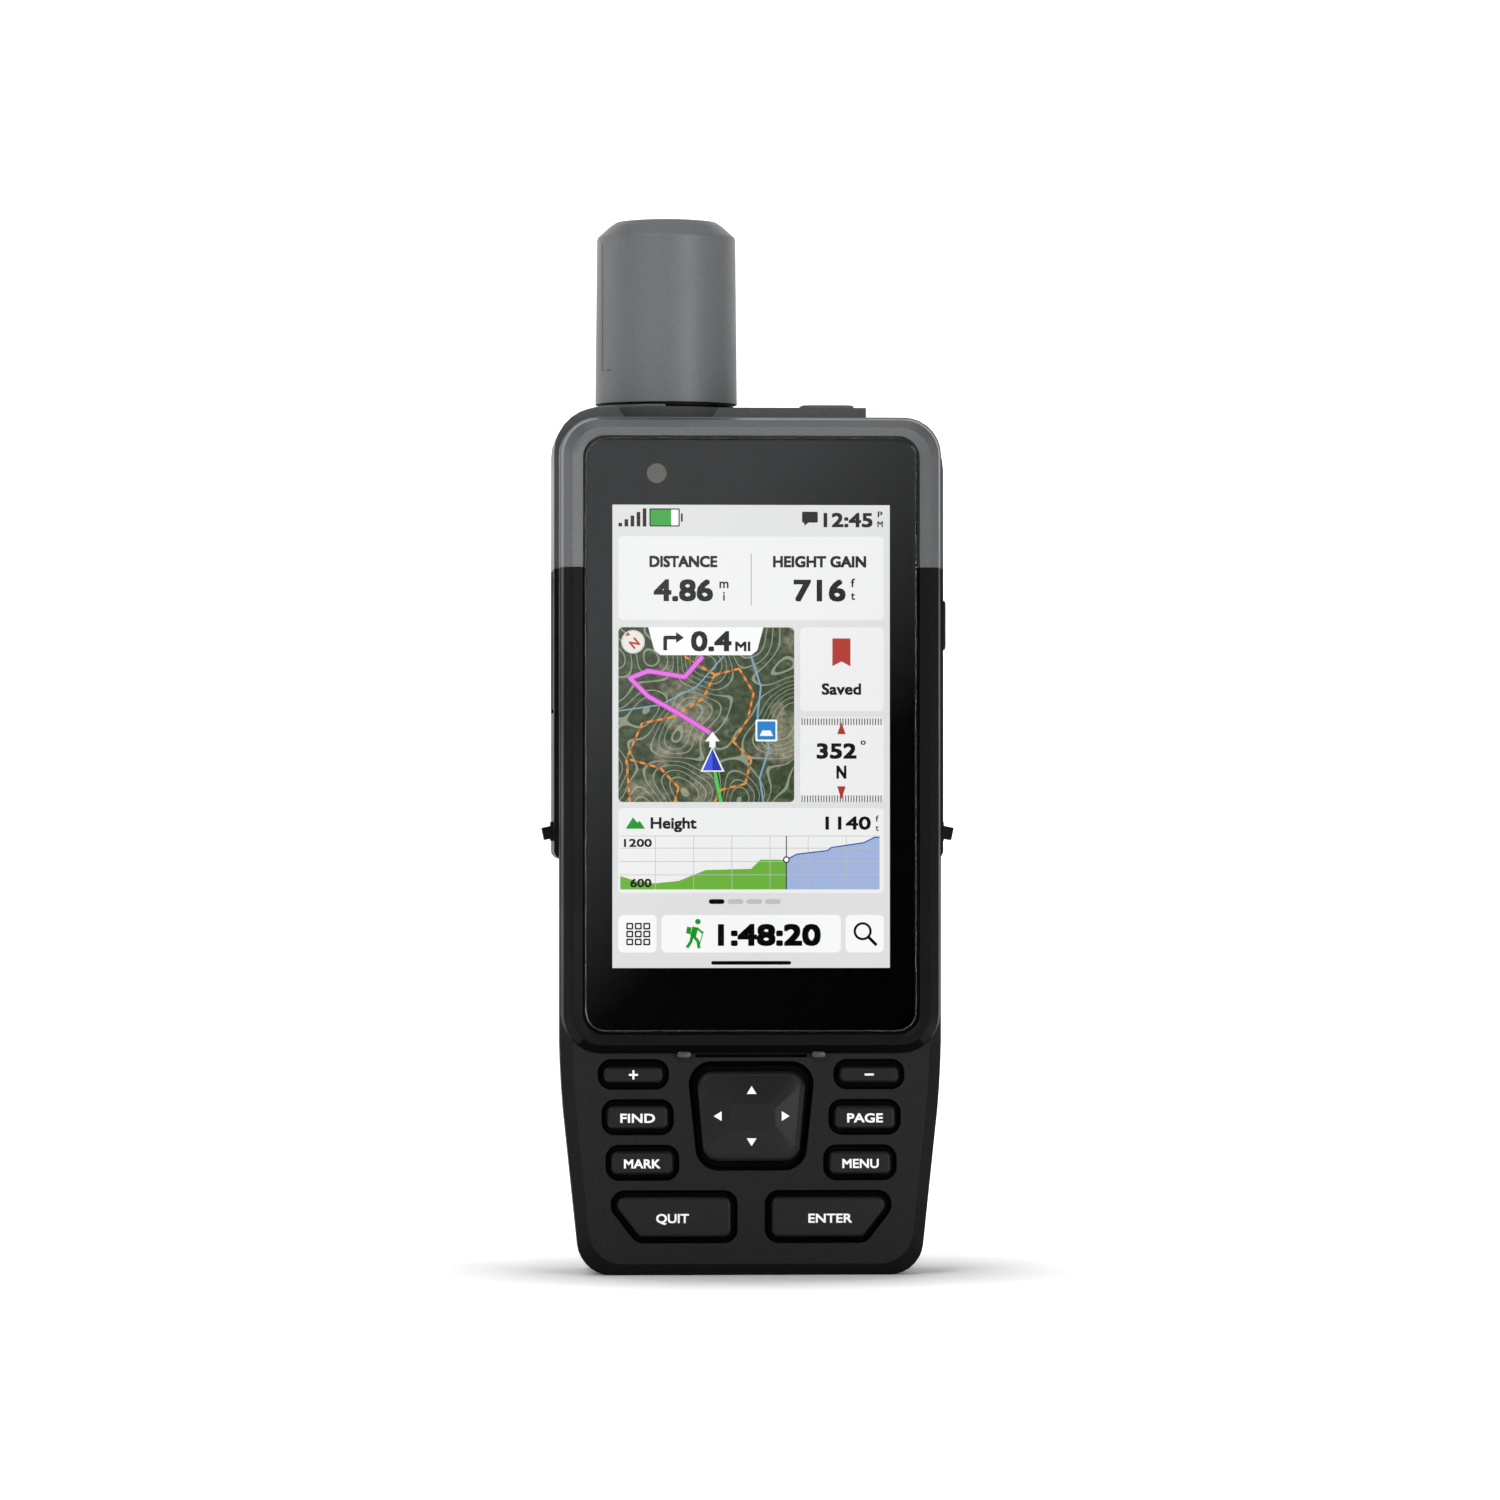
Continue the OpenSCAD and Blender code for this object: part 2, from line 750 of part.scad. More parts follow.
module usb_port() {
  color("#c2c4c6") difference() {
    block([-27.5, -1.1, 101.4], [-20.2, 2.5, 110.6]);
    block([-28, -0.5, 102], [-21, 1.9, 110]);
  }
  color("#202124") block([-26.5, 0.45, 102.7], [-21, 0.95, 109.3]);
}

module usb_board() {
  color("#1f5134") {
    block([-26.8, -1.9, 99], [-17, -1.1, 113]);
    for (z = [100.5, 111.5]) bar_y(-24, z, 1, -8.6, -1.9);
  }
}

module side_button() {
  color("#26282a") {
    hull() {
      block([30.2, -5.3, 103.4], [32.8, -0.7, 111.6]);
      block([32.9, -4.9, 103.8], [33.05, -1.1, 111.2]);
    }
    block([29.5, -6.2, 102.5], [30.2, 0.2, 112.5]);
    bar_x(28.3, 29.5, -3, 107.5, 0.9);
  }
}

module side_switch() {
  color("#8f9396") {
    block([25.4, -8.6, 104.2], [27.2, -1, 110.8]);
    bar_x(27.2, 27.7, -3, 107.5, 1.1);
  }
}

module power_button() {
  color("#5a5d5e") {
    hull() {
      block([9, -3, 141], [17.9, 5, 144.05]);
      block([9.5, -2.5, 144.15], [17.4, 4.5, 144.32]);
    }
    block([7.9, -4, 140.2], [19, 6, 141]);
    translate([13.4, 1, 139.3]) cylinder(r = 1.2, h = 0.9);
  }
}

module power_switch() {
  color("#8f9396") {
    block([10.2, -2, 136.4], [16.7, 4, 138.2]);
    block([10.7, -8.6, 135.6], [16.2, 4, 136.4]);
    block([10.7, -8.6, 131], [16.2, -7.8, 135.6]);
    translate([13.4, 1, 138.2]) cylinder(r = 1.3, h = 0.5);
  }
}

// ---------------------------------------------------------------- antenna

module antenna_cover() {
  top_r = antenna_r - 0.25;
  wall_r = antenna_r - antenna_wall;
  color("#6b6e6f") translate([antenna_x, antenna_y, 0]) rotate_extrude($fn = 96) difference() {
    polygon([
      [0, antenna_z0], [antenna_r, antenna_z0], [top_r, antenna_z1 - 3.2], [top_r - 0.35, antenna_z1 - 2.75],
      [top_r - 2.65, antenna_z1 - 1.05], [top_r - 3.7, antenna_z1 - 0.5], [top_r - 5.8, antenna_z1 - 0.2],
      [0, antenna_z1],
    ]);
    polygon([
      [0, antenna_z0 - 1], [wall_r, antenna_z0 - 1], [wall_r, antenna_z1 - 4.2],
      [wall_r - 2.6, antenna_z1 - 1.9], [0, antenna_z1 - 1.9],
    ]);
  }
}

module antenna_collar() {
  color("#3c3f40") translate([antenna_x, antenna_y, 0]) difference() {
    union() {
      translate([0, 0, 143.9]) cylinder(r = 10, h = 0.4);
      translate([0, 0, shoulder_top]) intersection() {
        cylinder(r = 10, h = 0.4);
        block([-0.58, -20, -1], [20, 20, 2]);
      }
      translate([0, 0, 143.9]) cylinder(r = 9.9, h = 2.4);
    }
    translate([0, 0, 140]) cylinder(r = 4.2, h = 10);
  }
}

module antenna_seal() {
  color("#0d0d0d") translate([antenna_x, antenna_y, 143.9]) difference() {
    cylinder(r = 11.2, h = antenna_z0 - 143.9);
    translate([0, 0, -1]) cylinder(r = 10.02, h = 3);
  }
}

module antenna_board() {
  color("#1f5134") translate([antenna_x, antenna_y, 146.3]) difference() {
    cylinder(r = 9.2, h = 1.2);
    translate([0, 0, -1]) cylinder(r = 1.2, h = 4);
  }
}

core_r = 7.6;
core_z0 = 147.5;
core_z1 = 171.8;

module antenna_core() {
  color("#d9d4c7") translate([antenna_x, antenna_y, core_z0]) difference() {
    cylinder(r = core_r, h = core_z1 - core_z0);
    translate([0, 0, 2]) cylinder(r = core_r - 1.4, h = core_z1 - core_z0);
    translate([0, 0, -1]) cylinder(r = 1.2, h = 4);
  }
}

// Four flat strips wound half a turn round the core
module antenna_helix() {
  color("#b87333") translate([antenna_x, antenna_y, core_z0])
    linear_extrude(core_z1 - core_z0, twist = -180, slices = 16, segments = 4)
      for (a = [0:90:270]) rotate(a) translate([core_r, -0.9]) square([0.35, 1.8]);
}

module antenna_coax() {
  color("#2b2b2b") translate([antenna_x, antenna_y, 0]) {
    translate([0, 0, 135]) cylinder(r = 0.6, h = 11.3);
    translate([0, 0, 135]) sphere(r = 0.6);
    translate([0, -7.2, 135]) rotate([-90, 0, 0]) cylinder(r = 0.6, h = 7.2);
    translate([0, -8.2, 135]) rotate([-90, 0, 0]) cylinder(r = 1.3, h = 1);
  }
}

// ---------------------------------------------------------------- battery, its door and lock

module battery_pack() {
  color("#2c4a63") difference() {
    slab(bay_y0 + 0.2, 10.7) plate_outline(20.9, 23, 64.6, 2.5);
    for (x = CONTACTS) block([x - 1, 0, 22], [x + 1, 3, 23]);
  }
}

module battery_contacts() {
  color("#c9a24b") for (x = CONTACTS) {
    block([x - 1, bay_y0, 15.5], [x + 1, bay_y0 + 3, 18]);
    block([x - 0.7, bay_y0 + 2.2, 18], [x + 0.7, bay_y0 + 2.6, 23]);
  }
}

module battery_door() {
  color("#1e1f21") difference() {
    union() {
      hull() {
        slab(door_y0, 14.2) plate_outline(door_hw, door_z0, door_z1, door_r);
        slab(14.2, 14.75) plate_outline(door_hw - 0.8, door_z0 + 0.8, door_z1 - 0.8, door_r - 0.8);
      }
      // rim that locates the door in the bay
      slab(10.9, door_y0) difference() {
        plate_outline(bay_hw - 0.3, bay_z0 + 0.3, bay_z1 - 0.3, 1);
        plate_outline(bay_hw - 1.7, 23.4, bay_z1 - 1.7, 1);
      }
    }
    // dish for the ring, and the bore for the lock
    bar_y(0, lock_z, 8.4, 13.3, 20);
    bar_y(0, lock_z, lock_r + 0.1, 11.7, 20);
    bar_y(0, lock_z, 3.1, 10, 20);
    // grip ribs
    for (z = [34:5:59]) block([-14, 14.3, z], [14, 20, z + 1.4]);
  }
}

module door_gasket() {
  color("#3f2a2a") slab(door_y0 - 0.3, door_y0 - 0.05) difference() {
    plate_outline(bay_hw + 1.6, bay_z0 - 1.6, bay_z1 + 1.4, 3);
    plate_outline(bay_hw + 0.6, bay_z0 - 0.6, bay_z1 + 0.4, 2.4);
  }
}

module door_lock() {
  color("#b4b7b9") translate([0, 0, lock_z]) difference() {
    union() {
      bar_y(0, 0, lock_r, 11.8, 13.4);
      bar_y(0, 0, 3, 8.6, 11.8);
      block([-3.9, 7.2, -1.1], [3.9, 8.6, 1.1]);
      // two ears that carry the ring
      for (s = [-1, 1]) block([s * 3 - 0.7, 13.4, -1.4], [s * 3 + 0.7, 15.4, 1.2]);
    }
    bar_x(-6, 6, 14.4, 0, 0.55);
    block([-2.3, 13, -1.6], [2.3, 20, 1.6]);
  }
}

// D-shaped wire ring lying in the door's dish; its straight side turns in the lock's ears
module door_ring() {
  color("#c4c7c9") translate([0, 14.4, lock_z]) {
    bar_x(-5.2, 5.2, 0, 0, 0.5);
    for (s = [-1, 1]) translate([s * 5.2, 0, 0]) sphere(r = 0.5, $fn = 32);
    for (s = [-1, 1]) translate([s * 5.2, 0, -2]) cylinder(r = 0.5, h = 2);
    translate([0, 0, -2]) rotate([90, 0, 0]) rotate([0, 0, 180]) rotate_extrude(angle = 180, $fn = 48)
      translate([5.2, 0]) circle(0.5, $fn = 32);
  }
}

module card_socket() {
  color("#b9bcbe") difference() {
    block([7.6, -8.6, 47], [20.4, -7.2, 59]);
    block([8.4, -8.3, 46], [19.6, -7.5, 60]);
  }
}

module memory_card() {
  color("#1d1f24") {
    block([8.5, -8.3, 47.2], [19.5, -7.5, 61.8]);
    block([9, -8.3, 61.8], [19, -7.4, 62.2]);
  }
}

front_housing();
top_bezel();
rear_housing();
rear_cap();
case_gasket();
display_glass();
glass_bond();
lcd_panel();
backlight();
light_sensor();
mid_frame();
main_board();
processor_shield();
gnss_shield();
board_parts();
display_flex();
key_mat();
dome_switches();
key_board();
key_plus();
key_find();
key_mark();
key_minus();
key_page();
key_menu();
key_quit();
key_enter();
rocker_cap();
rocker_post();
antenna_cover();
antenna_collar();
antenna_core();
antenna_helix();
antenna_board();
antenna_seal();
antenna_coax();
power_button();
power_switch();
side_button();
side_switch();
port_cover();
usb_port();
usb_board();
battery_pack();
battery_contacts();
battery_door();
door_gasket();
door_lock();
door_ring();
mount_spine();
torch_lens();
torch_led();
speaker();
pressure_vent();
case_screws();
side_lugs();
lanyard_bar();
card_socket();
memory_card();
board_screws();
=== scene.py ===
# A handheld satellite navigator, put together piece by piece on its CAD frame.
# Metres, front towards -Y, the origin under the middle of the body.
import math

import bpy
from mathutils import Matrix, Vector


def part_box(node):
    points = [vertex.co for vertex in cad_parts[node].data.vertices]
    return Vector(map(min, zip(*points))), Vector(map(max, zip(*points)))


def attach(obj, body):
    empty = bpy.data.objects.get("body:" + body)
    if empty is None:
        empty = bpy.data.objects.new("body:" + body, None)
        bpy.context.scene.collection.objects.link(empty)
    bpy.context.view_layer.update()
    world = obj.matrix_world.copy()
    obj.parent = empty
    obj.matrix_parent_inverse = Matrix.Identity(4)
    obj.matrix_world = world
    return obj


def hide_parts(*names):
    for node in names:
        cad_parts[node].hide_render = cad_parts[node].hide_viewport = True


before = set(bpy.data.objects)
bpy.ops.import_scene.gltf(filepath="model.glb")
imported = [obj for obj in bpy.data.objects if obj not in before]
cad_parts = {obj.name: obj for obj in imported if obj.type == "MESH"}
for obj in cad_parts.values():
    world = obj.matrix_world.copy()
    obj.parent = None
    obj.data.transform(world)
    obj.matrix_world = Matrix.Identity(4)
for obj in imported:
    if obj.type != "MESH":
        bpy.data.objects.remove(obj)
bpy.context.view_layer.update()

# ---------------------------------------------------------------- camera and studio
# A long lens 1.3 m in front of the glass, three degrees to its left and just below
# the middle of the body. A pale paper sweep carries the product, its glow held back near
# the foot as a painted shadow; soft boxes light it, and a graduated card behind the camera
# gives the cover glass its grey sheen.
MM = 0.001


def aim(thing, target):
    """Turns a lamp or camera to look at a point."""
    thing.rotation_euler = (Vector(target) - thing.location).to_track_quat("-Z", "Y").to_euler()


def colour(code):
    """An sRGB hex colour as linear RGBA."""
    parts = [int(code[i:i + 2], 16) / 255 for i in (1, 3, 5)]
    return [p / 12.92 if p <= 0.04045 else ((p + 0.055) / 1.055) ** 2.4 for p in parts] + [1.0]


def add_node(material, kind, sockets=None, **settings):
    """Adds one node: its own settings, and its sockets as values or as links."""
    tree = material.node_tree
    node = tree.nodes.new("ShaderNode" + kind)
    for name, value in settings.items():
        setattr(node, name, value)
    for key, value in (sockets or {}).items():
        if isinstance(value, bpy.types.NodeSocket):
            tree.links.new(value, node.inputs[key])
        else:
            node.inputs[key].default_value = value
    return node


def start_material(name, **values):
    """A new material: its shader with the fixed values set, and object coordinates."""
    material = bpy.data.materials.new(name)
    material.use_nodes = True
    material.node_tree.nodes.clear()
    shader = add_node(material, "BsdfPrincipled", {key.replace("_", " "): v for key, v in values.items()})
    add_node(material, "OutputMaterial", {"Surface": shader.outputs[0]})
    return material, shader, add_node(material, "TexCoord").outputs["Object"]


def link(material, source, target):
    """Joins an output to an input."""
    material.node_tree.links.new(source, target)


def ramp(material, factor, *stops):
    """A colour ramp from (place, hex colour) stops."""
    node = add_node(material, "ValToRGB", {"Fac": factor})
    elements = node.color_ramp.elements
    while len(elements) < len(stops):
        elements.new(0.5)
    for element, (place, code) in zip(elements, stops):
        element.position = place
        element.color = colour(code)
    return node.outputs["Color"]


def open_edit(piece, kind="FACE"):
    """Goes into edit mode on one piece with nothing selected."""
    bpy.ops.object.select_all(action="DESELECT")
    piece.select_set(True)
    bpy.context.view_layer.objects.active = piece
    bpy.ops.object.mode_set(mode="EDIT")
    bpy.ops.mesh.select_mode(type=kind)
    bpy.ops.mesh.select_all(action="DESELECT")


def pick(piece, test, kind="FACE"):
    """Selects the faces, edges or vertices that pass a test on their place (and normal)."""
    bpy.ops.mesh.select_mode(type=kind)
    bpy.ops.mesh.select_all(action="DESELECT")
    bpy.ops.object.mode_set(mode="OBJECT")
    mesh = piece.data
    if kind == "FACE":
        for face in mesh.polygons:
            face.select = test(face.center, face.normal)
    elif kind == "EDGE":
        for edge in mesh.edges:
            edge.select = test(*(mesh.vertices[v].co for v in edge.vertices))
    else:
        for vertex in mesh.vertices:
            vertex.select = test(vertex.co)
    bpy.ops.object.mode_set(mode="EDIT")


def close_edit(piece, smooth=35):
    """Leaves edit mode, puts the place into the mesh and smooths what is nearly flat."""
    bpy.ops.object.mode_set(mode="OBJECT")
    bpy.ops.object.select_all(action="DESELECT")
    piece.select_set(True)
    bpy.context.view_layer.objects.active = piece
    bpy.ops.object.transform_apply()
    bpy.ops.object.shade_smooth_by_angle(angle=math.radians(smooth))
    evened = piece.modifiers.new("evened", "WEIGHTED_NORMAL")
    evened.keep_sharp = True
    bpy.ops.object.modifier_apply(modifier="evened")


camera_data = bpy.data.cameras.new("camera")
camera_data.lens = 189.8
camera_data.sensor_width = 36
camera = bpy.data.objects.new("camera", camera_data)
bpy.context.collection.objects.link(camera)
camera.location = (-0.0683, -1.318, 0.0708)
aim(camera, (0.00075, 0.002, 0.0868))
bpy.context.scene.camera = camera
bpy.context.scene.view_settings.view_transform = "Standard"

# a dim room in every reflection, and a plain white backdrop where the floor ends
DIM_ROOM = [0.084, 0.087, 0.092, 1]
world = bpy.data.worlds.new("dim_studio")
bpy.context.scene.world = world
world.use_nodes = True
room = world.node_tree.nodes["Background"].inputs
room["Strength"].default_value = 1.0
seen = add_node(world, "LightPath").outputs["Is Camera Ray"]
backdrop = add_node(world, "Mix", {0: seen, 6: DIM_ROOM, 7: colour("#ffffff")}, data_type="RGBA")
world.node_tree.links.new(backdrop.outputs[2], room["Color"])

# each soft box: name, place, point it looks at, width, height, watts
SOFT_BOXES = (
    ("left_soft_box", (-0.95, 0.22, 0.3), (0, 0, 0.09), 0.5, 0.9, 2.6),
    ("upper_left_soft_box", (-0.55, -0.95, 0.75), (0, 0, 0.09), 0.7, 0.7, 6.8),
    ("right_soft_box", (0.68, -1.05, 0.25), (0, 0, 0.09), 0.55, 0.8, 8.4),
    ("top_soft_box", (0.0, 0.1, 1.1), (0, 0, 0.1), 0.9, 0.9, 3.5),
)
for name, place, target, width, height, watts in SOFT_BOXES:
    lamp_data = bpy.data.lights.new(name, "AREA")
    lamp_data.shape = "RECTANGLE"
    lamp_data.size, lamp_data.size_y, lamp_data.energy = width, height, watts
    lamp = bpy.data.objects.new(name, lamp_data)
    bpy.context.collection.objects.link(lamp)
    lamp.location = place
    aim(lamp, target)

# the sweep: a floor whose back edge is drawn up in a quarter turn to a wall
bpy.ops.object.select_all(action="DESELECT")
bpy.ops.mesh.primitive_plane_add(size=1)
sweep = bpy.context.object
sweep.name = "paper_sweep"
sweep.scale = (5, 1.5, 1)
sweep.location = (0, 0.15, 0)
bpy.ops.object.transform_apply()
open_edit(sweep, "EDGE")
pick(sweep, lambda a, b: a.y > 0.89 and b.y > 0.89, "EDGE")
SWEEP_STEPS = 10
SWEEP_R = 0.6
for step in range(SWEEP_STEPS):
    turn = math.pi / 2 * (step + 0.5) / SWEEP_STEPS
    length = math.pi / 2 * SWEEP_R / SWEEP_STEPS
    bpy.ops.mesh.extrude_region_move(TRANSFORM_OT_translate={
        "value": (0, length * math.cos(turn), length * math.sin(turn))})
bpy.ops.mesh.extrude_region_move(TRANSFORM_OT_translate={"value": (0, 0, 1.2)})
close_edit(sweep, 60)

# matt coated paper: nearly white, with a fibre too faint to read as a pattern
paper, shader, place = start_material("matt_coated_paper", Roughness=0.85)
fibre = add_node(paper, "TexNoise", {"Vector": place, "Scale": 1 / (9 * MM), "Detail": 4})
link(paper, ramp(paper, fibre.outputs["Fac"], (0.3, "#f4f4f3"), (0.7, "#fbfbfa")),
     shader.inputs["Base Color"])
shader.inputs["Emission Color"].default_value = colour("#ffffff")
# painted shadow: the paper's glow is nil at the body's foot and grows to full strength 0.1 m out, so the floor
# darkens round the base
reach = add_node(paper, "VectorMath", {0: place}, operation="LENGTH")
lift = add_node(paper, "MapRange", {"Value": reach.outputs["Value"], "From Min": 0.032, "From Max": 0.10,
                                     "To Min": 0.0, "To Max": 0.8})
link(paper, lift.outputs[0], shader.inputs["Emission Strength"])
sweep.data.materials.append(paper)

# the card: upper left brightest, so that is where the glass looks grey
bpy.ops.object.select_all(action="DESELECT")
bpy.ops.mesh.primitive_grid_add(x_subdivisions=4, y_subdivisions=4, size=1)
card = bpy.context.object
card.name = "sheen_card"
card.scale = (0.62, 0.62, 1)
card.rotation_euler = (math.pi / 2, 0, 0)
card.location = (0.10, -2.2, 0.1)
bpy.ops.object.transform_apply()
card.visible_camera = False
sheen, shader, place = start_material("graduated_studio_card", Roughness=1.0, Base_Color=colour("#000000"))
axes = add_node(sheen, "SeparateXYZ", {"Vector": place})
slant = add_node(sheen, "Math", {0: axes.outputs["Z"], 1: axes.outputs["X"]}, operation="SUBTRACT")
glow = add_node(sheen, "MapRange", {"Value": slant.outputs[0], "From Min": -0.20, "From Max": 0.12,
                                     "To Min": 0.0, "To Max": 1.0})
link(sheen, ramp(sheen, glow.outputs[0], (0.0, "#000000"), (0.45, "#262728"), (1.0, "#f4f6f8")),
     shader.inputs["Emission Color"])
shader.inputs["Emission Strength"].default_value = 0.72
card.data.materials.append(sheen)

# ---------------------------------------------------------------- frame and boards
# The inner frame is a magnesium casting. The boards bolt to it, with tinned cans over
# the receiver and the processor; all of it is bought in and screwed or soldered down.


def dress(material, *names):
    """Gives CAD nodes their material."""
    for name in names:
        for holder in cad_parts[name].material_slots:
            holder.material = material


def grained(name, light, dark, grain, depth, rough, spread=0.06, **values):
    """A surface with fine grain in colour and relief, and a slow drift in its gloss."""
    material, shader, place = start_material(name, **values)
    fine = add_node(material, "TexNoise", {"Vector": place, "Scale": 1 / (grain * MM), "Detail": 3})
    slow = add_node(material, "TexNoise", {"Vector": place, "Scale": 1 / (17 * MM), "Detail": 2})
    link(material, ramp(material, fine.outputs["Fac"], (0.32, dark), (0.68, light)),
         shader.inputs["Base Color"])
    gloss = add_node(material, "MapRange", {"Value": slow.outputs["Fac"], "From Min": 0.3, "From Max": 0.7,
                                            "To Min": rough - spread, "To Max": rough + spread})
    link(material, gloss.outputs[0], shader.inputs["Roughness"])
    relief = add_node(material, "Bump", {"Height": fine.outputs["Fac"], "Distance": depth * MM,
                                         "Strength": 0.6})
    link(material, relief.outputs[0], shader.inputs["Normal"])
    return material


# die-cast magnesium: soft grey metal with the dull orange-peel of the casting skin
magnesium = grained("cast_magnesium", "#a9abad", "#8d8f91", 0.7, 0.05, 0.48, Metallic=1.0)
dress(magnesium, "mid_frame")

# tin-plated sheet: brighter and smoother, with faint rolling marks
tin = grained("tinned_sheet_steel", "#c9cbcc", "#b4b6b8", 1.6, 0.01, 0.32, Metallic=1.0)
dress(tin, "processor_shield", "gnss_shield", "card_socket", "usb_port", "dome_switches",
      "power_switch", "side_switch")

# solder-masked glass epoxy: deep green with darker tracks in a weave of 1.3 mm
board, shader, place = start_material("solder_masked_board", Roughness=0.38)
tracks = add_node(board, "TexBrick", {"Vector": place, "Scale": 1 / (5 * MM), "Mortar Size": 0.06,
                                      "Color1": colour("#14502f"), "Color2": colour("#0f4226"),
                                      "Mortar": colour("#2b7a4b")})
link(board, tracks.outputs["Color"], shader.inputs["Base Color"])
dress(board, "main_board", "key_board", "usb_board", "antenna_board")

# moulded epoxy of the chips, and the black card body: dull near-black with a fine spot
resin = grained("moulded_chip_resin", "#2c2c2e", "#1f1f21", 0.5, 0.02, 0.5)
dress(resin, "board_parts", "memory_card")

# polyimide film: amber and slightly glossy
film = grained("polyimide_film", "#b8722a", "#a4621f", 2.4, 0.01, 0.3)
dress(film, "display_flex")

# stainless steel, turned or pressed: bright, with hair-fine streaks
steel = grained("turned_stainless_steel", "#c8cacc", "#b6b8ba", 0.45, 0.01, 0.27, Metallic=1.0)
dress(steel, "rocker_post", "board_screws", "lanyard_bar")

# gold-plated phosphor bronze of the spring contacts
gold = grained("gold_plated_bronze", "#e0b45a", "#cf9f45", 0.8, 0.01, 0.25, Metallic=1.0)
dress(gold, "battery_contacts")

# ---------------------------------------------------------------- display stack
# A light guide sits behind the liquid crystal cell, the two are taped to the frame and
# flooded to the glass with clear resin. The picture is made of thin printed layers on
# the cell's face: page, cards, map, then marks and figures on top.
guide = grained("diffusing_light_guide", "#f1f1ee", "#e4e4e0", 1.0, 0.01, 0.4)
dress(guide, "backlight")
cell_back = grained("display_cell_bezel", "#1a1a1c", "#121213", 0.8, 0.01, 0.45)
dress(cell_back, "lcd_panel")
sensor_window = grained("smoked_sensor_window", "#6c6a62", "#605f58", 0.6, 0.005, 0.22)
dress(sensor_window, "light_sensor")
clear_resin, shader, place = start_material("clear_bonding_resin", Roughness=0.08, IOR=1.41,
                                            Transmission_Weight=1.0)
haze = add_node(clear_resin, "TexNoise", {"Vector": place, "Scale": 1 / (6 * MM)})
link(clear_resin, ramp(clear_resin, haze.outputs["Fac"], (0.3, "#fbfbf8"), (0.7, "#ffffff")),
     shader.inputs["Base Color"])
dress(clear_resin, "glass_bond")



def extent(node):
    """A CAD node's lowest and highest corner at rest, in mm."""
    return [[round(v / MM, 2) for v in corner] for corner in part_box(node)]


CELL_FACE = extent("lcd_panel")[0][1]
LAYER = 0.012              # step between two printed layers, mm


def tint(piece, code):
    """Writes one colour on a mesh, which the lit display shows."""
    shade = piece.data.color_attributes.new("tint", "FLOAT_COLOR", "CORNER")
    for corner in shade.data:
        corner.color = colour(code)
    return piece


def join(name, parts):
    """Joins parts into one named piece."""
    bpy.ops.object.select_all(action="DESELECT")
    for part in parts:
        part.select_set(True)
    bpy.context.view_layer.objects.active = parts[0]
    bpy.ops.object.join()
    piece = bpy.context.object
    piece.name = name
    return piece


def outline(points, y, code=None):
    """A flat shape facing the front, from its (x, z) corners in mm."""
    bpy.ops.object.select_all(action="DESELECT")
    bpy.ops.mesh.primitive_circle_add(vertices=len(points), radius=MM, fill_type="NGON")
    shape = bpy.context.object
    for vertex, (x, z) in zip(shape.data.vertices, points):
        vertex.co = (x * MM, y * MM, z * MM)
    open_edit(shape)
    bpy.ops.mesh.select_all(action="SELECT")
    bpy.ops.mesh.quads_convert_to_tris(ngon_method="BEAUTY")
    bpy.ops.mesh.normals_make_consistent(inside=False)
    bpy.ops.object.mode_set(mode="OBJECT")
    if shape.data.polygons[0].normal.y > 0:
        shape.data.flip_normals()
    return tint(shape, code) if code else shape


def tile(x0, z0, x1, z1, radius, y, code=None):
    """A rounded rectangle facing the front."""
    points = []
    for cx, cz, start in ((x1 - radius, z1 - radius, 0), (x0 + radius, z1 - radius, 90),
                          (x0 + radius, z0 + radius, 180), (x1 - radius, z0 + radius, 270)):
        for step in range(5 if radius else 1):
            turn = math.radians(start + 22.5 * step)
            points.append((cx + radius * math.cos(turn), cz + radius * math.sin(turn)))
    return outline(points, y, code)


def disc(x, z, radius, y, code=None, count=28):
    """A round spot facing the front."""
    turns = [math.tau * i / count for i in range(count)]
    return outline([(x + radius * math.cos(turn), z + radius * math.sin(turn)) for turn in turns], y, code)


def line(points, width, y, code=None):
    """A line of even width through (x, z) points: a strip for each leg, a spot at each bend."""
    parts = []
    for (xa, za), (xb, zb) in zip(points, points[1:]):
        run = math.hypot(xb - xa, zb - za)
        dx, dz = (zb - za) / run * width / 2, (xa - xb) / run * width / 2
        corners = [(xa - dx, za - dz), (xa + dx, za + dz), (xb + dx, zb + dz), (xb - dx, zb - dz)]
        parts.append(outline(corners, y, code))
    for x, z in points[1:-1]:
        parts.append(disc(x, z, width / 2, y - LAYER / 8, code, 10))
    return join("line", parts) if len(parts) > 1 else parts[0]


CAPITAL = 0.729            # height of a capital in the built-in letters, of their size
COPY_STEP = 0.0004         # each copy of a bold word lies this far in front of the last, mm


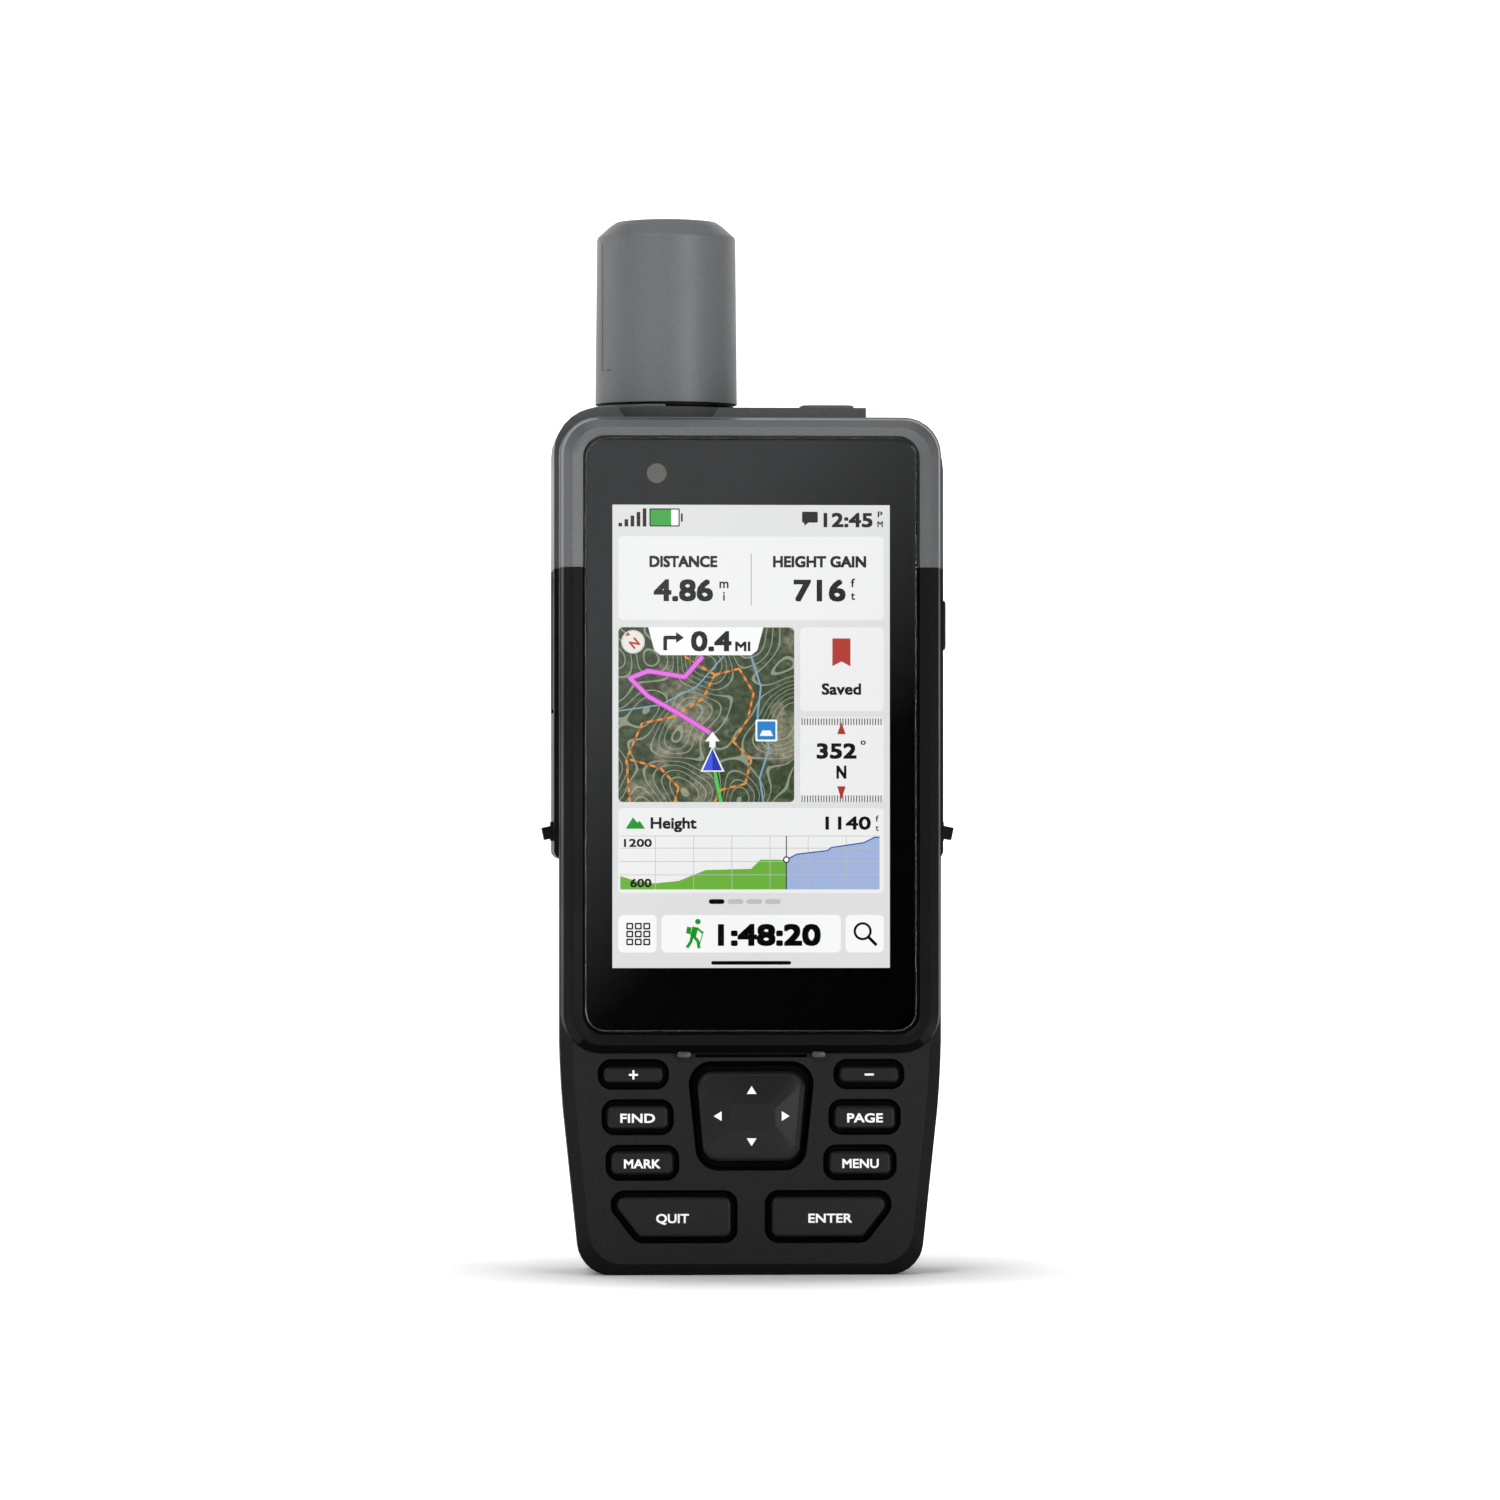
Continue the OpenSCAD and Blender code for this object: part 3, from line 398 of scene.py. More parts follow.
def lettering(words, x, z, capital, y, width, bold=0.0, code=None, turn=0):
    """Words centred on x and z with capitals this high, made a flat mesh; bold, in mm,
    widens the strokes by laying nine shifted copies over each other."""
    bpy.ops.object.select_all(action="DESELECT")
    bpy.ops.object.text_add()
    text = bpy.context.object
    text.data.body = words
    text.data.align_x = "CENTER"
    text.data.resolution_u = 3
    bpy.ops.object.convert(target="MESH")
    text = bpy.context.object
    size = (capital - bold) * MM / CAPITAL
    squeeze = (width - bold) * MM / text.dimensions.x
    middle = (max(c[0] for c in text.bound_box) + min(c[0] for c in text.bound_box)) / 2
    for vertex in text.data.vertices:
        vertex.co = ((vertex.co.x - middle) * squeeze, (vertex.co.y - CAPITAL / 2) * size, 0)
    text.rotation_euler = (math.pi / 2, math.radians(turn), 0)
    text.location = (x * MM, y * MM, z * MM)
    bpy.ops.object.transform_apply()
    if bold:
        open_edit(text)
        bpy.ops.mesh.select_all(action="SELECT")
        half = bold / 2 * MM
        bpy.ops.transform.translate(value=(-half, 0, -half))
        for right, up in ((1, 0), (1, 0), (0, 1), (-1, 0), (-1, 0), (0, 1), (1, 0), (1, 0)):
            shift = (right * half, -COPY_STEP * MM, up * half)
            bpy.ops.mesh.duplicate_move(TRANSFORM_OT_translate={"value": shift})
        bpy.ops.object.mode_set(mode="OBJECT")
    return tint(text, code) if code else text


def level(step):
    """The y of a printed layer, counted from the cell towards the glass."""
    return CELL_FACE - LAYER * (step + 1)


# the lit picture: each mark glows in its own tint, with the faint cloudiness of a backlight
lit, shader, place = start_material("lit_liquid_crystal_cell", Roughness=0.6, Base_Color=colour("#050505"),
                                    Specular_IOR_Level=0.0, Emission_Strength=1.04)
clouds = add_node(lit, "TexNoise", {"Vector": place, "Scale": 1 / (22 * MM), "Detail": 1})
even = add_node(lit, "MapRange", {"Value": clouds.outputs["Fac"], "To Min": 0.97, "To Max": 1.03})
tone = add_node(lit, "VertexColor", layer_name="tint")
glow = add_node(lit, "VectorMath", {0: tone.outputs["Color"], "Scale": even.outputs[0]}, operation="SCALE")
link(lit, glow.outputs[0], shader.inputs["Emission Color"])

# aerial relief: dark woods and bare pale slopes, with a contour wherever the height passes a step
terrain, shader, place = start_material("lit_relief_map", Roughness=0.6, Base_Color=colour("#050505"),
                                        Specular_IOR_Level=0.0, Emission_Strength=1.04)
woods, height, bare = (
    add_node(terrain, "TexNoise", {"Vector": place, "Scale": 1 / (patch * MM), "Detail": detail,
                                   "Roughness": rough})
    for patch, detail, rough in ((1.1, 4, 0.7), (15, 1, 0.4), (9, 4, 0.6)))
green = ramp(terrain, woods.outputs["Fac"], (0.30, "#27331f"), (0.50, "#3c4b31"), (0.72, "#5b6a4b"))
slope = ramp(terrain, woods.outputs["Fac"], (0.30, "#5c5c48"), (0.50, "#85836c"), (0.72, "#b0ac98"))
share = add_node(terrain, "MapRange", {"Value": bare.outputs["Fac"], "From Min": 0.52, "From Max": 0.66})
land = add_node(terrain, "Mix", {0: share.outputs[0], 6: green, 7: slope}, data_type="RGBA")
steps = add_node(terrain, "Math", {0: height.outputs["Fac"], 1: 30.0}, operation="MULTIPLY")
within = add_node(terrain, "Math", {0: steps.outputs[0]}, operation="FRACT")
contour = add_node(terrain, "Math", {0: within.outputs[0], 1: 0.16}, operation="LESS_THAN")
faint = add_node(terrain, "Math", {0: contour.outputs[0], 1: 0.55}, operation="MULTIPLY")
mapped = add_node(terrain, "Mix", {0: faint.outputs[0], 6: land.outputs[2], 7: colour("#b4bba4")},
                  data_type="RGBA")
link(terrain, mapped.outputs[2], shader.inputs["Emission Color"])

# The picture hangs on the lit area, 45.8 x 76.4 mm: a status bar, then four rows of cards
# between even margins, each row given by its lower and upper edge.
LIT_LEFT, LIT_RIGHT, LIT_LOW, LIT_HIGH = -22.9, 22.9, 50.6, 127.0
MARGIN = 1.0
LEFT, RIGHT = LIT_LEFT + MARGIN, LIT_RIGHT - MARGIN
SIDE = 8.1                                 # left edge of the two narrow cards
READINGS, MAP_ROW, CHART, BAR = (108, 121.8), (78, 106.8), (63, 77), (53.2, 59.4)
PAGE, CARD, WHITE, INK, BLACK = "#e4e4e4", "#f3f3f3", "#fdfdfd", "#111111", "#050505"
RED, GO, RULE = "#b5382e", "#159a1f", "#c0c2c0"
page = join("display_page", [
    tile(LIT_LEFT, LIT_LOW, LIT_RIGHT, LIT_HIGH, 0, level(0), PAGE),
    tile(LEFT, READINGS[0], RIGHT, READINGS[1], 0.7, level(1), CARD),
    tile(SIDE, 93, RIGHT, MAP_ROW[1], 0.7, level(1), CARD),
    tile(SIDE, MAP_ROW[0], RIGHT, 92, 0.7, level(1), CARD),
    tile(LEFT, CHART[0], RIGHT, CHART[1], 0.7, level(1), CARD),
    tile(LEFT, BAR[0], -15.6, BAR[1], 0.8, level(1), WHITE),
    tile(-14.8, BAR[0], 14.8, BAR[1], 0.8, level(1), WHITE),
    tile(15.6, BAR[0], RIGHT, BAR[1], 0.8, level(1), WHITE),
    tile(-6.6, 51.2, 6.6, 51.8, 0.3, level(1), BLACK),
] + [tile(-7 + 3.1 * i, 61.2, -4.4 + 3.1 * i, 62, 0.4, level(1), "#c4c4c4" if i else BLACK)
     for i in range(4)])
page.data.materials.append(lit)
relief = tile(LEFT, MAP_ROW[0], SIDE - MARGIN, MAP_ROW[1], 0.7, level(1))
relief.name = "display_map"
relief.data.materials.append(terrain)

# status bar: five rising signal bars, a battery two thirds full, a message
marks = [tile(LEFT + i, 123.4, LEFT + i + 0.6, 124 + 0.6 * i, 0.06, level(1), INK) for i in range(5)]
marks += [
    tile(-16.8, 123.4, -11.8, 126.4, 0.2, level(1), INK),
    tile(-16.6, 123.6, -12, 126.2, 0.1, level(2), WHITE),
    tile(-16.6, 123.6, -13.2, 126.2, 0.1, level(3), "#3fa83f"),
    tile(-11.6, 124.2, -11.3, 125.6, 0.1, level(1), INK),
    tile(8.4, 124.1, 11, 125.9, 0.2, level(1), INK),
    outline([(8.7, 124.2), (8.8, 123.6), (9.6, 124.2)], level(1), INK),
]

# cards: a rule between the readings, a bookmark, and a heading scale with two pointers
HEADING_X = 14.9
marks += [
    line([(0, 119), (0, 110.4)], 0.12, level(2), "#9a9a9a"),
    outline([(13.4, 105), (13.4, 100.4), (HEADING_X, 101.2), (16.4, 100.4), (16.4, 105)], level(2), RED),
    outline([(HEADING_X - 0.7, 89.2), (HEADING_X + 0.7, 89.2), (HEADING_X, 91.2)], level(3), RED),
    outline([(HEADING_X - 0.7, 80.6), (HEADING_X, 78.4), (HEADING_X + 0.7, 80.6)], level(3), RED),
    outline([(-20.7, 73.6), (-19.5, 75.5), (-18.8, 74.6), (-18.4, 74.9), (-17.5, 73.6)], level(2), GO),
]
for i in range(30):
    tick = 8.4 + 0.45 * i
    if abs(tick - HEADING_X) > 0.2:
        marks += [line([(tick, z), (tick, z + 1.1)], 0.17, level(2), "#4a4a4a") for z in (90.7, 78)]

# height chart: the climb walked so far in green, what lies ahead in blue, on a pale grid
GROUND, CHART_TOP = 63.6, 72.4
NOW = (5.8, 68.5)
WALKED = [(-21.6, 65.8), (-19, 65), (-16, 64.6), (-12, 65), (-7.5, 66.8), (0, 67), (1.5, 68.5), NOW]
AHEAD = [NOW, (7.5, 69.4), (12.6, 70), (13.2, 70.5), (18.6, 71.3), (20.4, 72.2), (21.2, 72.2)]
for climb, code in ((WALKED, "#6fb53f"), (AHEAD, "#a5b8e0")):
    marks.append(outline([(climb[0][0], GROUND), (climb[-1][0], GROUND)] + climb[::-1], level(2), code))
marks += [line([(-21.6, z), (21.2, z)], 0.1, level(3), RULE) for z in (66, 68.2, 70.4, CHART_TOP)]
marks += [line([(x, GROUND), (x, CHART_TOP)], 0.1, level(3), RULE) for x in (-15.8 + 6.3 * i for i in range(6))]
marks += [
    line(AHEAD, 0.2, level(4), "#2a4fae"),
    line([(NOW[0], CHART_TOP), (NOW[0], GROUND)], 0.16, level(4), BLACK),
    disc(*NOW, 0.56, level(5), BLACK), disc(*NOW, 0.36, level(6), "#ffffff"),
]

# bottom bar: nine small tiles, a walker with a pack and a pole, a magnifier
for i in range(9):
    x, z = -20.6 + 1.4 * (i % 3), 54.4 + 1.3 * (i // 3)
    marks += [tile(x, z, x + 1.15, z + 1.1, 0.18, level(2), INK),
              tile(x + 0.25, z + 0.25, x + 0.9, z + 0.85, 0.06, level(3), WHITE)]
WALKER = (
    ([(-9.2, 57.4), (-9.6, 55.9)], 1.0), ([(-10.2, 57.4), (-10.4, 56.3)], 0.75),
    ([(-9, 57.3), (-8, 56.4)], 0.34), ([(-7.9, 56.7), (-8.7, 53.9)], 0.16),
    ([(-9.6, 56), (-8.8, 55.1), (-8.6, 53.9)], 0.5), ([(-9.7, 56), (-10, 54.9), (-10.6, 54)], 0.5),
)
marks += [line(limb, width, level(2), GO) for limb, width in WALKER]
marks += [
    disc(-8.8, 58.3, 0.46, level(2), GO),
    disc(18.4, 56.7, 1.5, level(2), BLACK), disc(18.4, 56.7, 1.1, level(3), WHITE),
    line([(19.4, 55.7), (20.7, 54.4)], 0.5, level(2), BLACK),
]

# what the map carries: two streams, the route walked and the way ahead, dashed footpaths
ROUTE = [(-8, 102), (-11, 98.6), (-17, 99.6), (-20, 98.4), (-17, 95.4), (-12, 92.6), (-6.8, 89.4)]
marks += [
    line([(0, 102), (1.6, 97), (1, 92), (3, 87), (1.4, 82), (2, 78)], 0.3, level(2), "#7fa9c4"),
    line([(-4.6, 102), (-9, 97), (-15, 94), (LEFT, 93)], 0.22, level(2), "#7fa9c4"),
    line(ROUTE, 0.86, level(4), "#b23bb0"), line(ROUTE, 0.62, level(5) + LAYER / 4, "#ee74ea"),
    line([(-6, 83), (-5, MAP_ROW[0])], 0.5, level(4), "#48d456"),
]
FOOTPATHS = (
    [(-11, 102), (-6, 99), (-8, 95), (-13, 92), (-18, 91), (-20.6, 85), (-20, 78)],
    [(-6, 99), (-2, 100), (0.4, 96), (-0.6, 91.6), (-3, 88), (0, 85), (-1, 81), (-5, 80), (-6, 78)],
    [(-20, 85), (-15, 83.6), (-12, 80.4), (-12.6, 78)],
)
for path in FOOTPATHS:
    marks.append(line(path, 0.3, level(3), "#a9602a"))
    for (xa, za), (xb, zb) in zip(path, path[1:]):
        dashes = max(2, round(math.hypot(xb - xa, zb - za) / 0.8))
        for i in range(0, dashes, 2):
            ends = [(xa + (xb - xa) * t / dashes, za + (zb - za) * t / dashes) for t in (i, i + 1)]
            marks.append(line(ends, 0.36, level(3) - LAYER / 3, "#e8923c"))

# and over it: the walker's arrow, a hut sign, a small compass and the banner of the next turn
ARROW_X = -6.4
marks += [
    outline([(ARROW_X - 1.2, 88), (ARROW_X, 89.6), (ARROW_X + 1.2, 88)], level(5), WHITE),
    tile(ARROW_X - 0.5, 87, ARROW_X + 0.5, 88.1, 0, level(5), WHITE),
    outline([(ARROW_X - 2, 83), (ARROW_X, 87.2), (ARROW_X + 2, 83)], level(6), WHITE),
    outline([(ARROW_X - 1.6, 83.2), (ARROW_X, 86.8), (ARROW_X, 83.2)], level(7), "#3d58ea"),
    outline([(ARROW_X, 83.2), (ARROW_X, 86.8), (ARROW_X + 1.6, 83.2)], level(7), "#1c2fb4"),
    tile(0.7, 88, 4.3, 91.6, 0.25, level(5), WHITE), tile(1, 88.3, 4, 91.3, 0.15, level(6), "#2584cf"),
    outline([(1.4, 88.9), (3.6, 88.9), (3.2, 89.8), (1.8, 89.8)], level(7), WHITE),
    disc(-19.5, 104.4, 1.95, level(5), "#d9dbd4"), disc(-19.5, 104.4, 1.7, level(6), "#ecece6"),
    outline([(-20.8, 105.3), (-20.4, 106), (-19.9, 105.5)], level(7), "#c8322a"),
    outline([(-17, MAP_ROW[1]), (-16, 103), (-15, 102.2), (0, 102.2), (1, 103), (2, MAP_ROW[1])],
            level(6), WHITE),
    line([(-14.2, 103), (-14.2, 105.1), (-12.4, 105.1)], 0.62, level(7), INK),
    outline([(-12.4, 104.2), (-12.4, 106), (-11.1, 105.1)], level(7), INK),
]
marks = join("display_marks", marks)
marks.data.materials.append(lit)

# figures, generic words and numbers only: words, centre x and z, capital height, width,
# boldness (all mm), then layer, tint and turn in degrees
FIGURES = (
    ("12:45", 16, 124.6, 2.5, 8.1, 0.22, 2, INK, 0), ("P", 21.3, 125.5, 1.05, 0.8, 0.06, 2, INK, 0),
    ("M", 21.3, 123.9, 1.05, 0.9, 0.06, 2, INK, 0), ("DISTANCE", -11.2, 117.7, 2, 11.2, 0.2, 2, INK, 0),
    ("HEIGHT GAIN", 11.3, 117.7, 2, 15.4, 0.2, 2, INK, 0),
    ("4.86", -11.2, 113, 3.8, 9.8, 0.34, 2, INK, 0), ("716", 11.3, 113, 3.8, 8.6, 0.34, 2, INK, 0),
    ("m", -4.5, 114.1, 1.7, 1.5, 0.08, 2, INK, 0), ("i", -4.5, 112, 1.6, 0.3, 0.06, 2, INK, 0),
    ("f", 16.8, 114.2, 1.5, 0.7, 0.08, 2, INK, 0), ("t", 16.8, 112.1, 1.5, 0.7, 0.08, 2, INK, 0),
    ("0.4", -6.6, 104.6, 3.5, 6.7, 0.32, 7, INK, 0), ("MI", -1.4, 103.7, 1.7, 2.5, 0.16, 7, INK, 0),
    ("Saved", HEADING_X, 96.7, 2, 6.5, 0.16, 2, INK, 0), ("352", 14.1, 86.5, 2.7, 6.6, 0.26, 2, INK, 0),
    ("o", 18.5, 88, 1.1, 0.85, 0.06, 2, INK, 0), ("N", HEADING_X, 83, 2.3, 1.65, 0.2, 2, INK, 0),
    ("Height", -12.8, 74.6, 2, 7.6, 0.16, 2, INK, 0), ("1140", 16, 74.6, 2.3, 7.5, 0.18, 2, INK, 0),
    ("f", 20.8, 75.3, 1.1, 0.5, 0.05, 2, INK, 0), ("t", 20.8, 73.8, 1.1, 0.5, 0.05, 2, INK, 0),
    ("1200", -18.7, 71.3, 1.4, 4.6, 0.12, 4, INK, 0), ("600", -18.2, 64.7, 1.5, 3.5, 0.12, 4, INK, 0),
    ("1:48:20", 3, 56.2, 3.8, 17, 0.42, 2, BLACK, 0),
    ("N", -19.3, 104.2, 1.6, 1.3, 0.12, 7, "#c8322a", -40),
)
figures = join("display_figures", [
    lettering(words, x, z, capital, level(step), width, bold, code, turn)
    for words, x, z, capital, width, bold, step, code, turn in FIGURES])
figures.data.materials.append(lit)
for piece in (page, relief, marks, figures):
    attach(piece, "shell")

# ---------------------------------------------------------------- cover glass
# Chemically strengthened glass, ground to outline with a small chamfer. Black enamel is
# screen printed round the back of it, with a smoked window left for the light sensor.
GLASS_GAP = 0.14           # clearance to the frame all round, mm
low, high = extent("display_glass")
GLASS_HW, GLASS_Z0, GLASS_Z1 = high[0] - GLASS_GAP, low[2] + GLASS_GAP, high[2] - GLASS_GAP
GLASS_FRONT, GLASS_BACK = low[1], -15.73


def slab(name, x0, x1, y0, y1, z0, z1):
    """A cube primitive brought to its size and place, ready for edit mode."""
    bpy.ops.object.select_all(action="DESELECT")
    bpy.ops.mesh.primitive_cube_add(size=1)
    piece = bpy.context.object
    piece.name = name
    piece.scale = ((x1 - x0) * MM, (y1 - y0) * MM, (z1 - z0) * MM)
    piece.location = ((x0 + x1) / 2 * MM, (y0 + y1) / 2 * MM, (z0 + z1) / 2 * MM)
    bpy.ops.object.transform_apply()
    open_edit(piece)
    return piece


glass = slab("cover_glass", -GLASS_HW, GLASS_HW, GLASS_FRONT, GLASS_BACK, GLASS_Z0, GLASS_Z1)
pick(glass, lambda a, b: abs(a.y - b.y) > MM, "EDGE")
bpy.ops.mesh.bevel(offset=3.4 * MM, segments=10, affect="EDGES")
front_y = GLASS_FRONT * MM
pick(glass, lambda a, b: abs(a.y - front_y) < 1e-6 and abs(b.y - front_y) < 1e-6, "EDGE")
bpy.ops.mesh.bevel(offset=0.28 * MM, segments=3, affect="EDGES")
close_edit(glass, 30)
clear_glass, shader, place = start_material("strengthened_clear_glass", IOR=1.5, Transmission_Weight=1.0)
wipe = add_node(clear_glass, "TexNoise", {"Vector": place, "Scale": 1 / (30 * MM), "Detail": 2})
link(clear_glass, ramp(clear_glass, wipe.outputs["Fac"], (0.3, "#fdfefe"), (0.7, "#ffffff")),
     shader.inputs["Base Color"])
polish = add_node(clear_glass, "MapRange", {"Value": wipe.outputs["Fac"], "To Min": 0.015, "To Max": 0.03})
link(clear_glass, polish.outputs[0], shader.inputs["Roughness"])
glass.data.materials.append(clear_glass)
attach(glass, "shell")
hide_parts("display_glass")

# the printed border starts as one plane whose inner edge is then drawn in to the clear window
ENAMEL_Y, ENAMEL_WIDE, ENAMEL_HIGH, ENAMEL_RIM = -15.712, 54.6, 97.7, 4.4
ENAMEL_Z = (GLASS_Z0 + GLASS_Z1) / 2
INNER_LOW, INNER_HIGH = ENAMEL_Z - ENAMEL_HIGH / 2 + ENAMEL_RIM, ENAMEL_Z + ENAMEL_HIGH / 2 - ENAMEL_RIM
WINDOW_LOW, WINDOW_HIGH = 50.66, 127.1
bpy.ops.object.select_all(action="DESELECT")
bpy.ops.mesh.primitive_plane_add(size=1)
enamel = bpy.context.object
enamel.name = "printed_enamel_border"
enamel.rotation_euler = (math.pi / 2, 0, 0)
enamel.scale = (ENAMEL_WIDE * MM, ENAMEL_HIGH * MM, 1)
enamel.location = (0, ENAMEL_Y * MM, ENAMEL_Z * MM)
bpy.ops.object.transform_apply()
open_edit(enamel)
bpy.ops.mesh.select_all(action="SELECT")
bpy.ops.mesh.inset(thickness=ENAMEL_RIM * MM)
pick(enamel, lambda p: abs(p.x) < 23 * MM and p.z > 120 * MM, "VERT")
bpy.ops.transform.translate(value=(0, 0, (WINDOW_HIGH - INNER_HIGH) * MM))
pick(enamel, lambda p: abs(p.x) < 23 * MM and p.z < 50 * MM, "VERT")
bpy.ops.transform.translate(value=(0, 0, (WINDOW_LOW - INNER_LOW) * MM))
pick(enamel, lambda centre, normal: abs(centre.x) < 2 * MM and 80 * MM < centre.z < 95 * MM)
bpy.ops.mesh.delete(type="FACE")
pick(enamel, lambda p: abs(p.x) > 25 * MM, "VERT")
bpy.ops.mesh.bevel(offset=3.2 * MM, segments=8, affect="VERTICES")
close_edit(enamel)
black_enamel = grained("fired_black_enamel", "#040404", "#020202", 0.5, 0.002, 0.5, Specular_IOR_Level=0.0)
enamel.data.materials.append(black_enamel)
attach(enamel, "shell")
pane = disc(-15.6, 132.2, 1.63, ENAMEL_Y - 0.006)
pane.name = "sensor_pane"
pane.data.materials.append(sensor_window)
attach(pane, "shell")

# ---------------------------------------------------------------- front shell
# Glass-filled polycarbonate, injection moulded in black against a spark-eroded tool,
# with the rubber seal laid in its groove. The grain is drawn at 0.55 mm, three times
# its real size, so that it shows.


def finished_copy(node, body, material, width, limit=25):
    """The CAD node's own shape, merged, with its sharp edges rounded as the mould rounds them."""
    bpy.ops.object.select_all(action="DESELECT")
    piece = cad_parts[node].copy()
    piece.data = piece.data.copy()
    piece.name = node + "_finished"
    piece.parent = None
    bpy.context.collection.objects.link(piece)
    open_edit(piece, "VERT")
    bpy.ops.mesh.select_all(action="SELECT")
    bpy.ops.mesh.remove_doubles(threshold=0.001 * MM)
    bpy.ops.mesh.dissolve_limited(angle_limit=math.radians(1))
    bpy.ops.object.mode_set(mode="OBJECT")
    rounding = piece.modifiers.new("rounding", "BEVEL")
    rounding.width, rounding.segments = width * MM, 2
    rounding.limit_method, rounding.angle_limit = "ANGLE", math.radians(limit)
    bpy.ops.object.modifier_apply(modifier="rounding")
    bpy.ops.object.shade_smooth_by_angle(angle=math.radians(35))
    evened = piece.modifiers.new("evened", "WEIGHTED_NORMAL")
    evened.keep_sharp = True
    bpy.ops.object.modifier_apply(modifier="evened")
    piece.data.materials.clear()
    piece.data.materials.append(material)
    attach(piece, body)
    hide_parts(node)
    return piece


black_moulding = grained("spark_eroded_black_polycarbonate", "#0f0f10", "#0b0b0c", 0.55, 0.012, 0.46,
                         Specular_IOR_Level=0.075)
rubber = grained("moulded_black_silicone", "#0e0e0f", "#0a0a0b", 0.7, 0.012, 0.6, Specular_IOR_Level=0.12)
front = finished_copy("front_housing", "shell", black_moulding, 0.24)
dress(rubber, "case_gasket", "door_gasket", "antenna_seal", "key_mat")


# painted shade: a flat black with no shine at all, laid on the walls of the key openings, on the key flanges
# and on the step under the frame, where shade falls
painted_shade_black = grained("painted_shade_matt_black", "#040404", "#020202", 0.6, 0.01, 0.8, Specular_IOR_Level=0.05)


def refinish(piece, finish, test):
    """Gives the faces that pass a test on their place and normal another finish."""
    piece.data.materials.append(finish)
    open_edit(piece)
    pick(piece, test)
    piece.active_material_index = len(piece.data.materials) - 1
    bpy.ops.object.material_slot_assign()
    bpy.ops.object.mode_set(mode="OBJECT")


# painted shade on the walls of the key openings, and on the step under the frame
refinish(front, painted_shade_black, lambda centre, normal:
         (abs(normal.y) < 0.5 and centre.y > -16.15 * MM and abs(centre.x) < 27 * MM and centre.z < 36 * MM)
         or (normal.z < -0.5 and centre.y < -16 * MM and 36 * MM < centre.z < 39 * MM))

# the keypad face has a grain a grade coarser than the frame, and its colour is painted paler as a painted light
# for what its front faces catch
keypad_painted_light_black = grained("painted_paler_keypad_polycarbonate", "#212122", "#1c1c1d", 0.6, 0.014, 0.5,
                          Specular_IOR_Level=0.075)
refinish(front, keypad_painted_light_black, lambda centre, normal: normal.y < -0.9 and centre.z < 37 * MM)

# two small nubs over the keypad, moulded with the shell: smoother than it, and painted paler as a painted
# highlight
nub_polish_and_painted_highlight = grained("polished_black_with_painted_highlight", "#333435", "#29292a", 0.5, 0.006, 0.34)
NUB_HW, NUB_FRONT, NUB_BACK, NUB_LOW, NUB_HIGH = 1.1, -17.25, -15.9, 35.95, 36.9
for name, x in (("left_nub", -11.1), ("right_nub", 11.1)):
    nub = slab(name, x - NUB_HW, x + NUB_HW, NUB_FRONT, NUB_BACK, NUB_LOW, NUB_HIGH)
    pick(nub, lambda a, b: abs(a.y - b.y) > 0.5 * MM, "EDGE")
    bpy.ops.mesh.bevel(offset=0.44 * MM, segments=6, affect="EDGES")
    pick(nub, lambda centre, normal: normal.y < -0.9)
    bpy.ops.mesh.inset(thickness=0.2 * MM)
    bpy.ops.transform.translate(value=(0, -0.12 * MM, 0))
    close_edit(nub, 40)
    nub.data.materials.append(nub_polish_and_painted_highlight)
    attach(nub, "shell")

# ---------------------------------------------------------------- top bezel
# The grey band over the glass is a second moulding, snapped on before the rear shell.
grey_moulding = grained("spark_eroded_grey_polycarbonate", "#606263", "#5b5d5e", 0.45, 0.006, 0.45,
                        Specular_IOR_Level=0.3)
# painted shade: the band is the cap's grey plastic, painted darker where more light falls on it
bezel_painted_shade_grey = grained("painted_shade_mid_grey_polycarbonate", "#555759", "#4f5153", 0.55, 0.01, 0.42,
                     Specular_IOR_Level=0.4)
finished_copy("top_bezel", "shell", bezel_painted_shade_grey, 0.18)

# ---------------------------------------------------------------- keys
# Each key is moulded in hard black plastic with a flange that traps it behind the
# keypad; its word is pad printed in white ink on the face. Marks are generic words.
key_plastic = grained("moulded_black_key_plastic", "#111112", "#0d0d0e", 0.5, 0.01, 0.36,
                      Specular_IOR_Level=0.22)
ink = grained("pad_printed_white_ink", "#f6f6f4", "#ecece9", 0.3, 0.004, 0.5)
KEY_FACE = extent("key_plus")[0][1]
# key: word, centre x and z, capital height, width, all in mm
LEGENDS = (
    ("key_plus", "+", -19.45, 33.1, 0, 0), ("key_minus", "-", 19.45, 33.1, 0, 0),
    ("key_find", "FIND", -18.75, 26.0, 1.6, 5.7), ("key_page", "PAGE", 18.75, 26.0, 1.6, 5.9),
    ("key_mark", "MARK", -18.0, 18.5, 1.6, 6.0), ("key_menu", "MENU", 18.0, 18.5, 1.6, 6.0),
    ("key_quit", "QUIT", -13.0, 9.5, 1.6, 5.4), ("key_enter", "ENTER", 13.0, 9.5, 1.6, 7.2),
)
for key, word, x, z, capital, width in LEGENDS:
    # painted shade on each key's flange, deeper than its face
    refinish(finished_copy(key, key, key_plastic, 0.22), painted_shade_black,
             lambda centre, normal: centre.y > (KEY_FACE + 0.9) * MM)
    face = KEY_FACE - 0.015
    if capital:
        legend = lettering(word, x, z, capital, face, width, 0.1)
    else:
        legend = line([(x - 0.75, z), (x + 0.75, z)], 0.32, face)
        if word == "+":
            legend = join("line", [legend, line([(x, z - 0.75), (x, z + 0.75)], 0.32, face - 0.004)])
    legend.name = key + "_legend"
    legend.data.materials.append(ink)
    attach(legend, key)

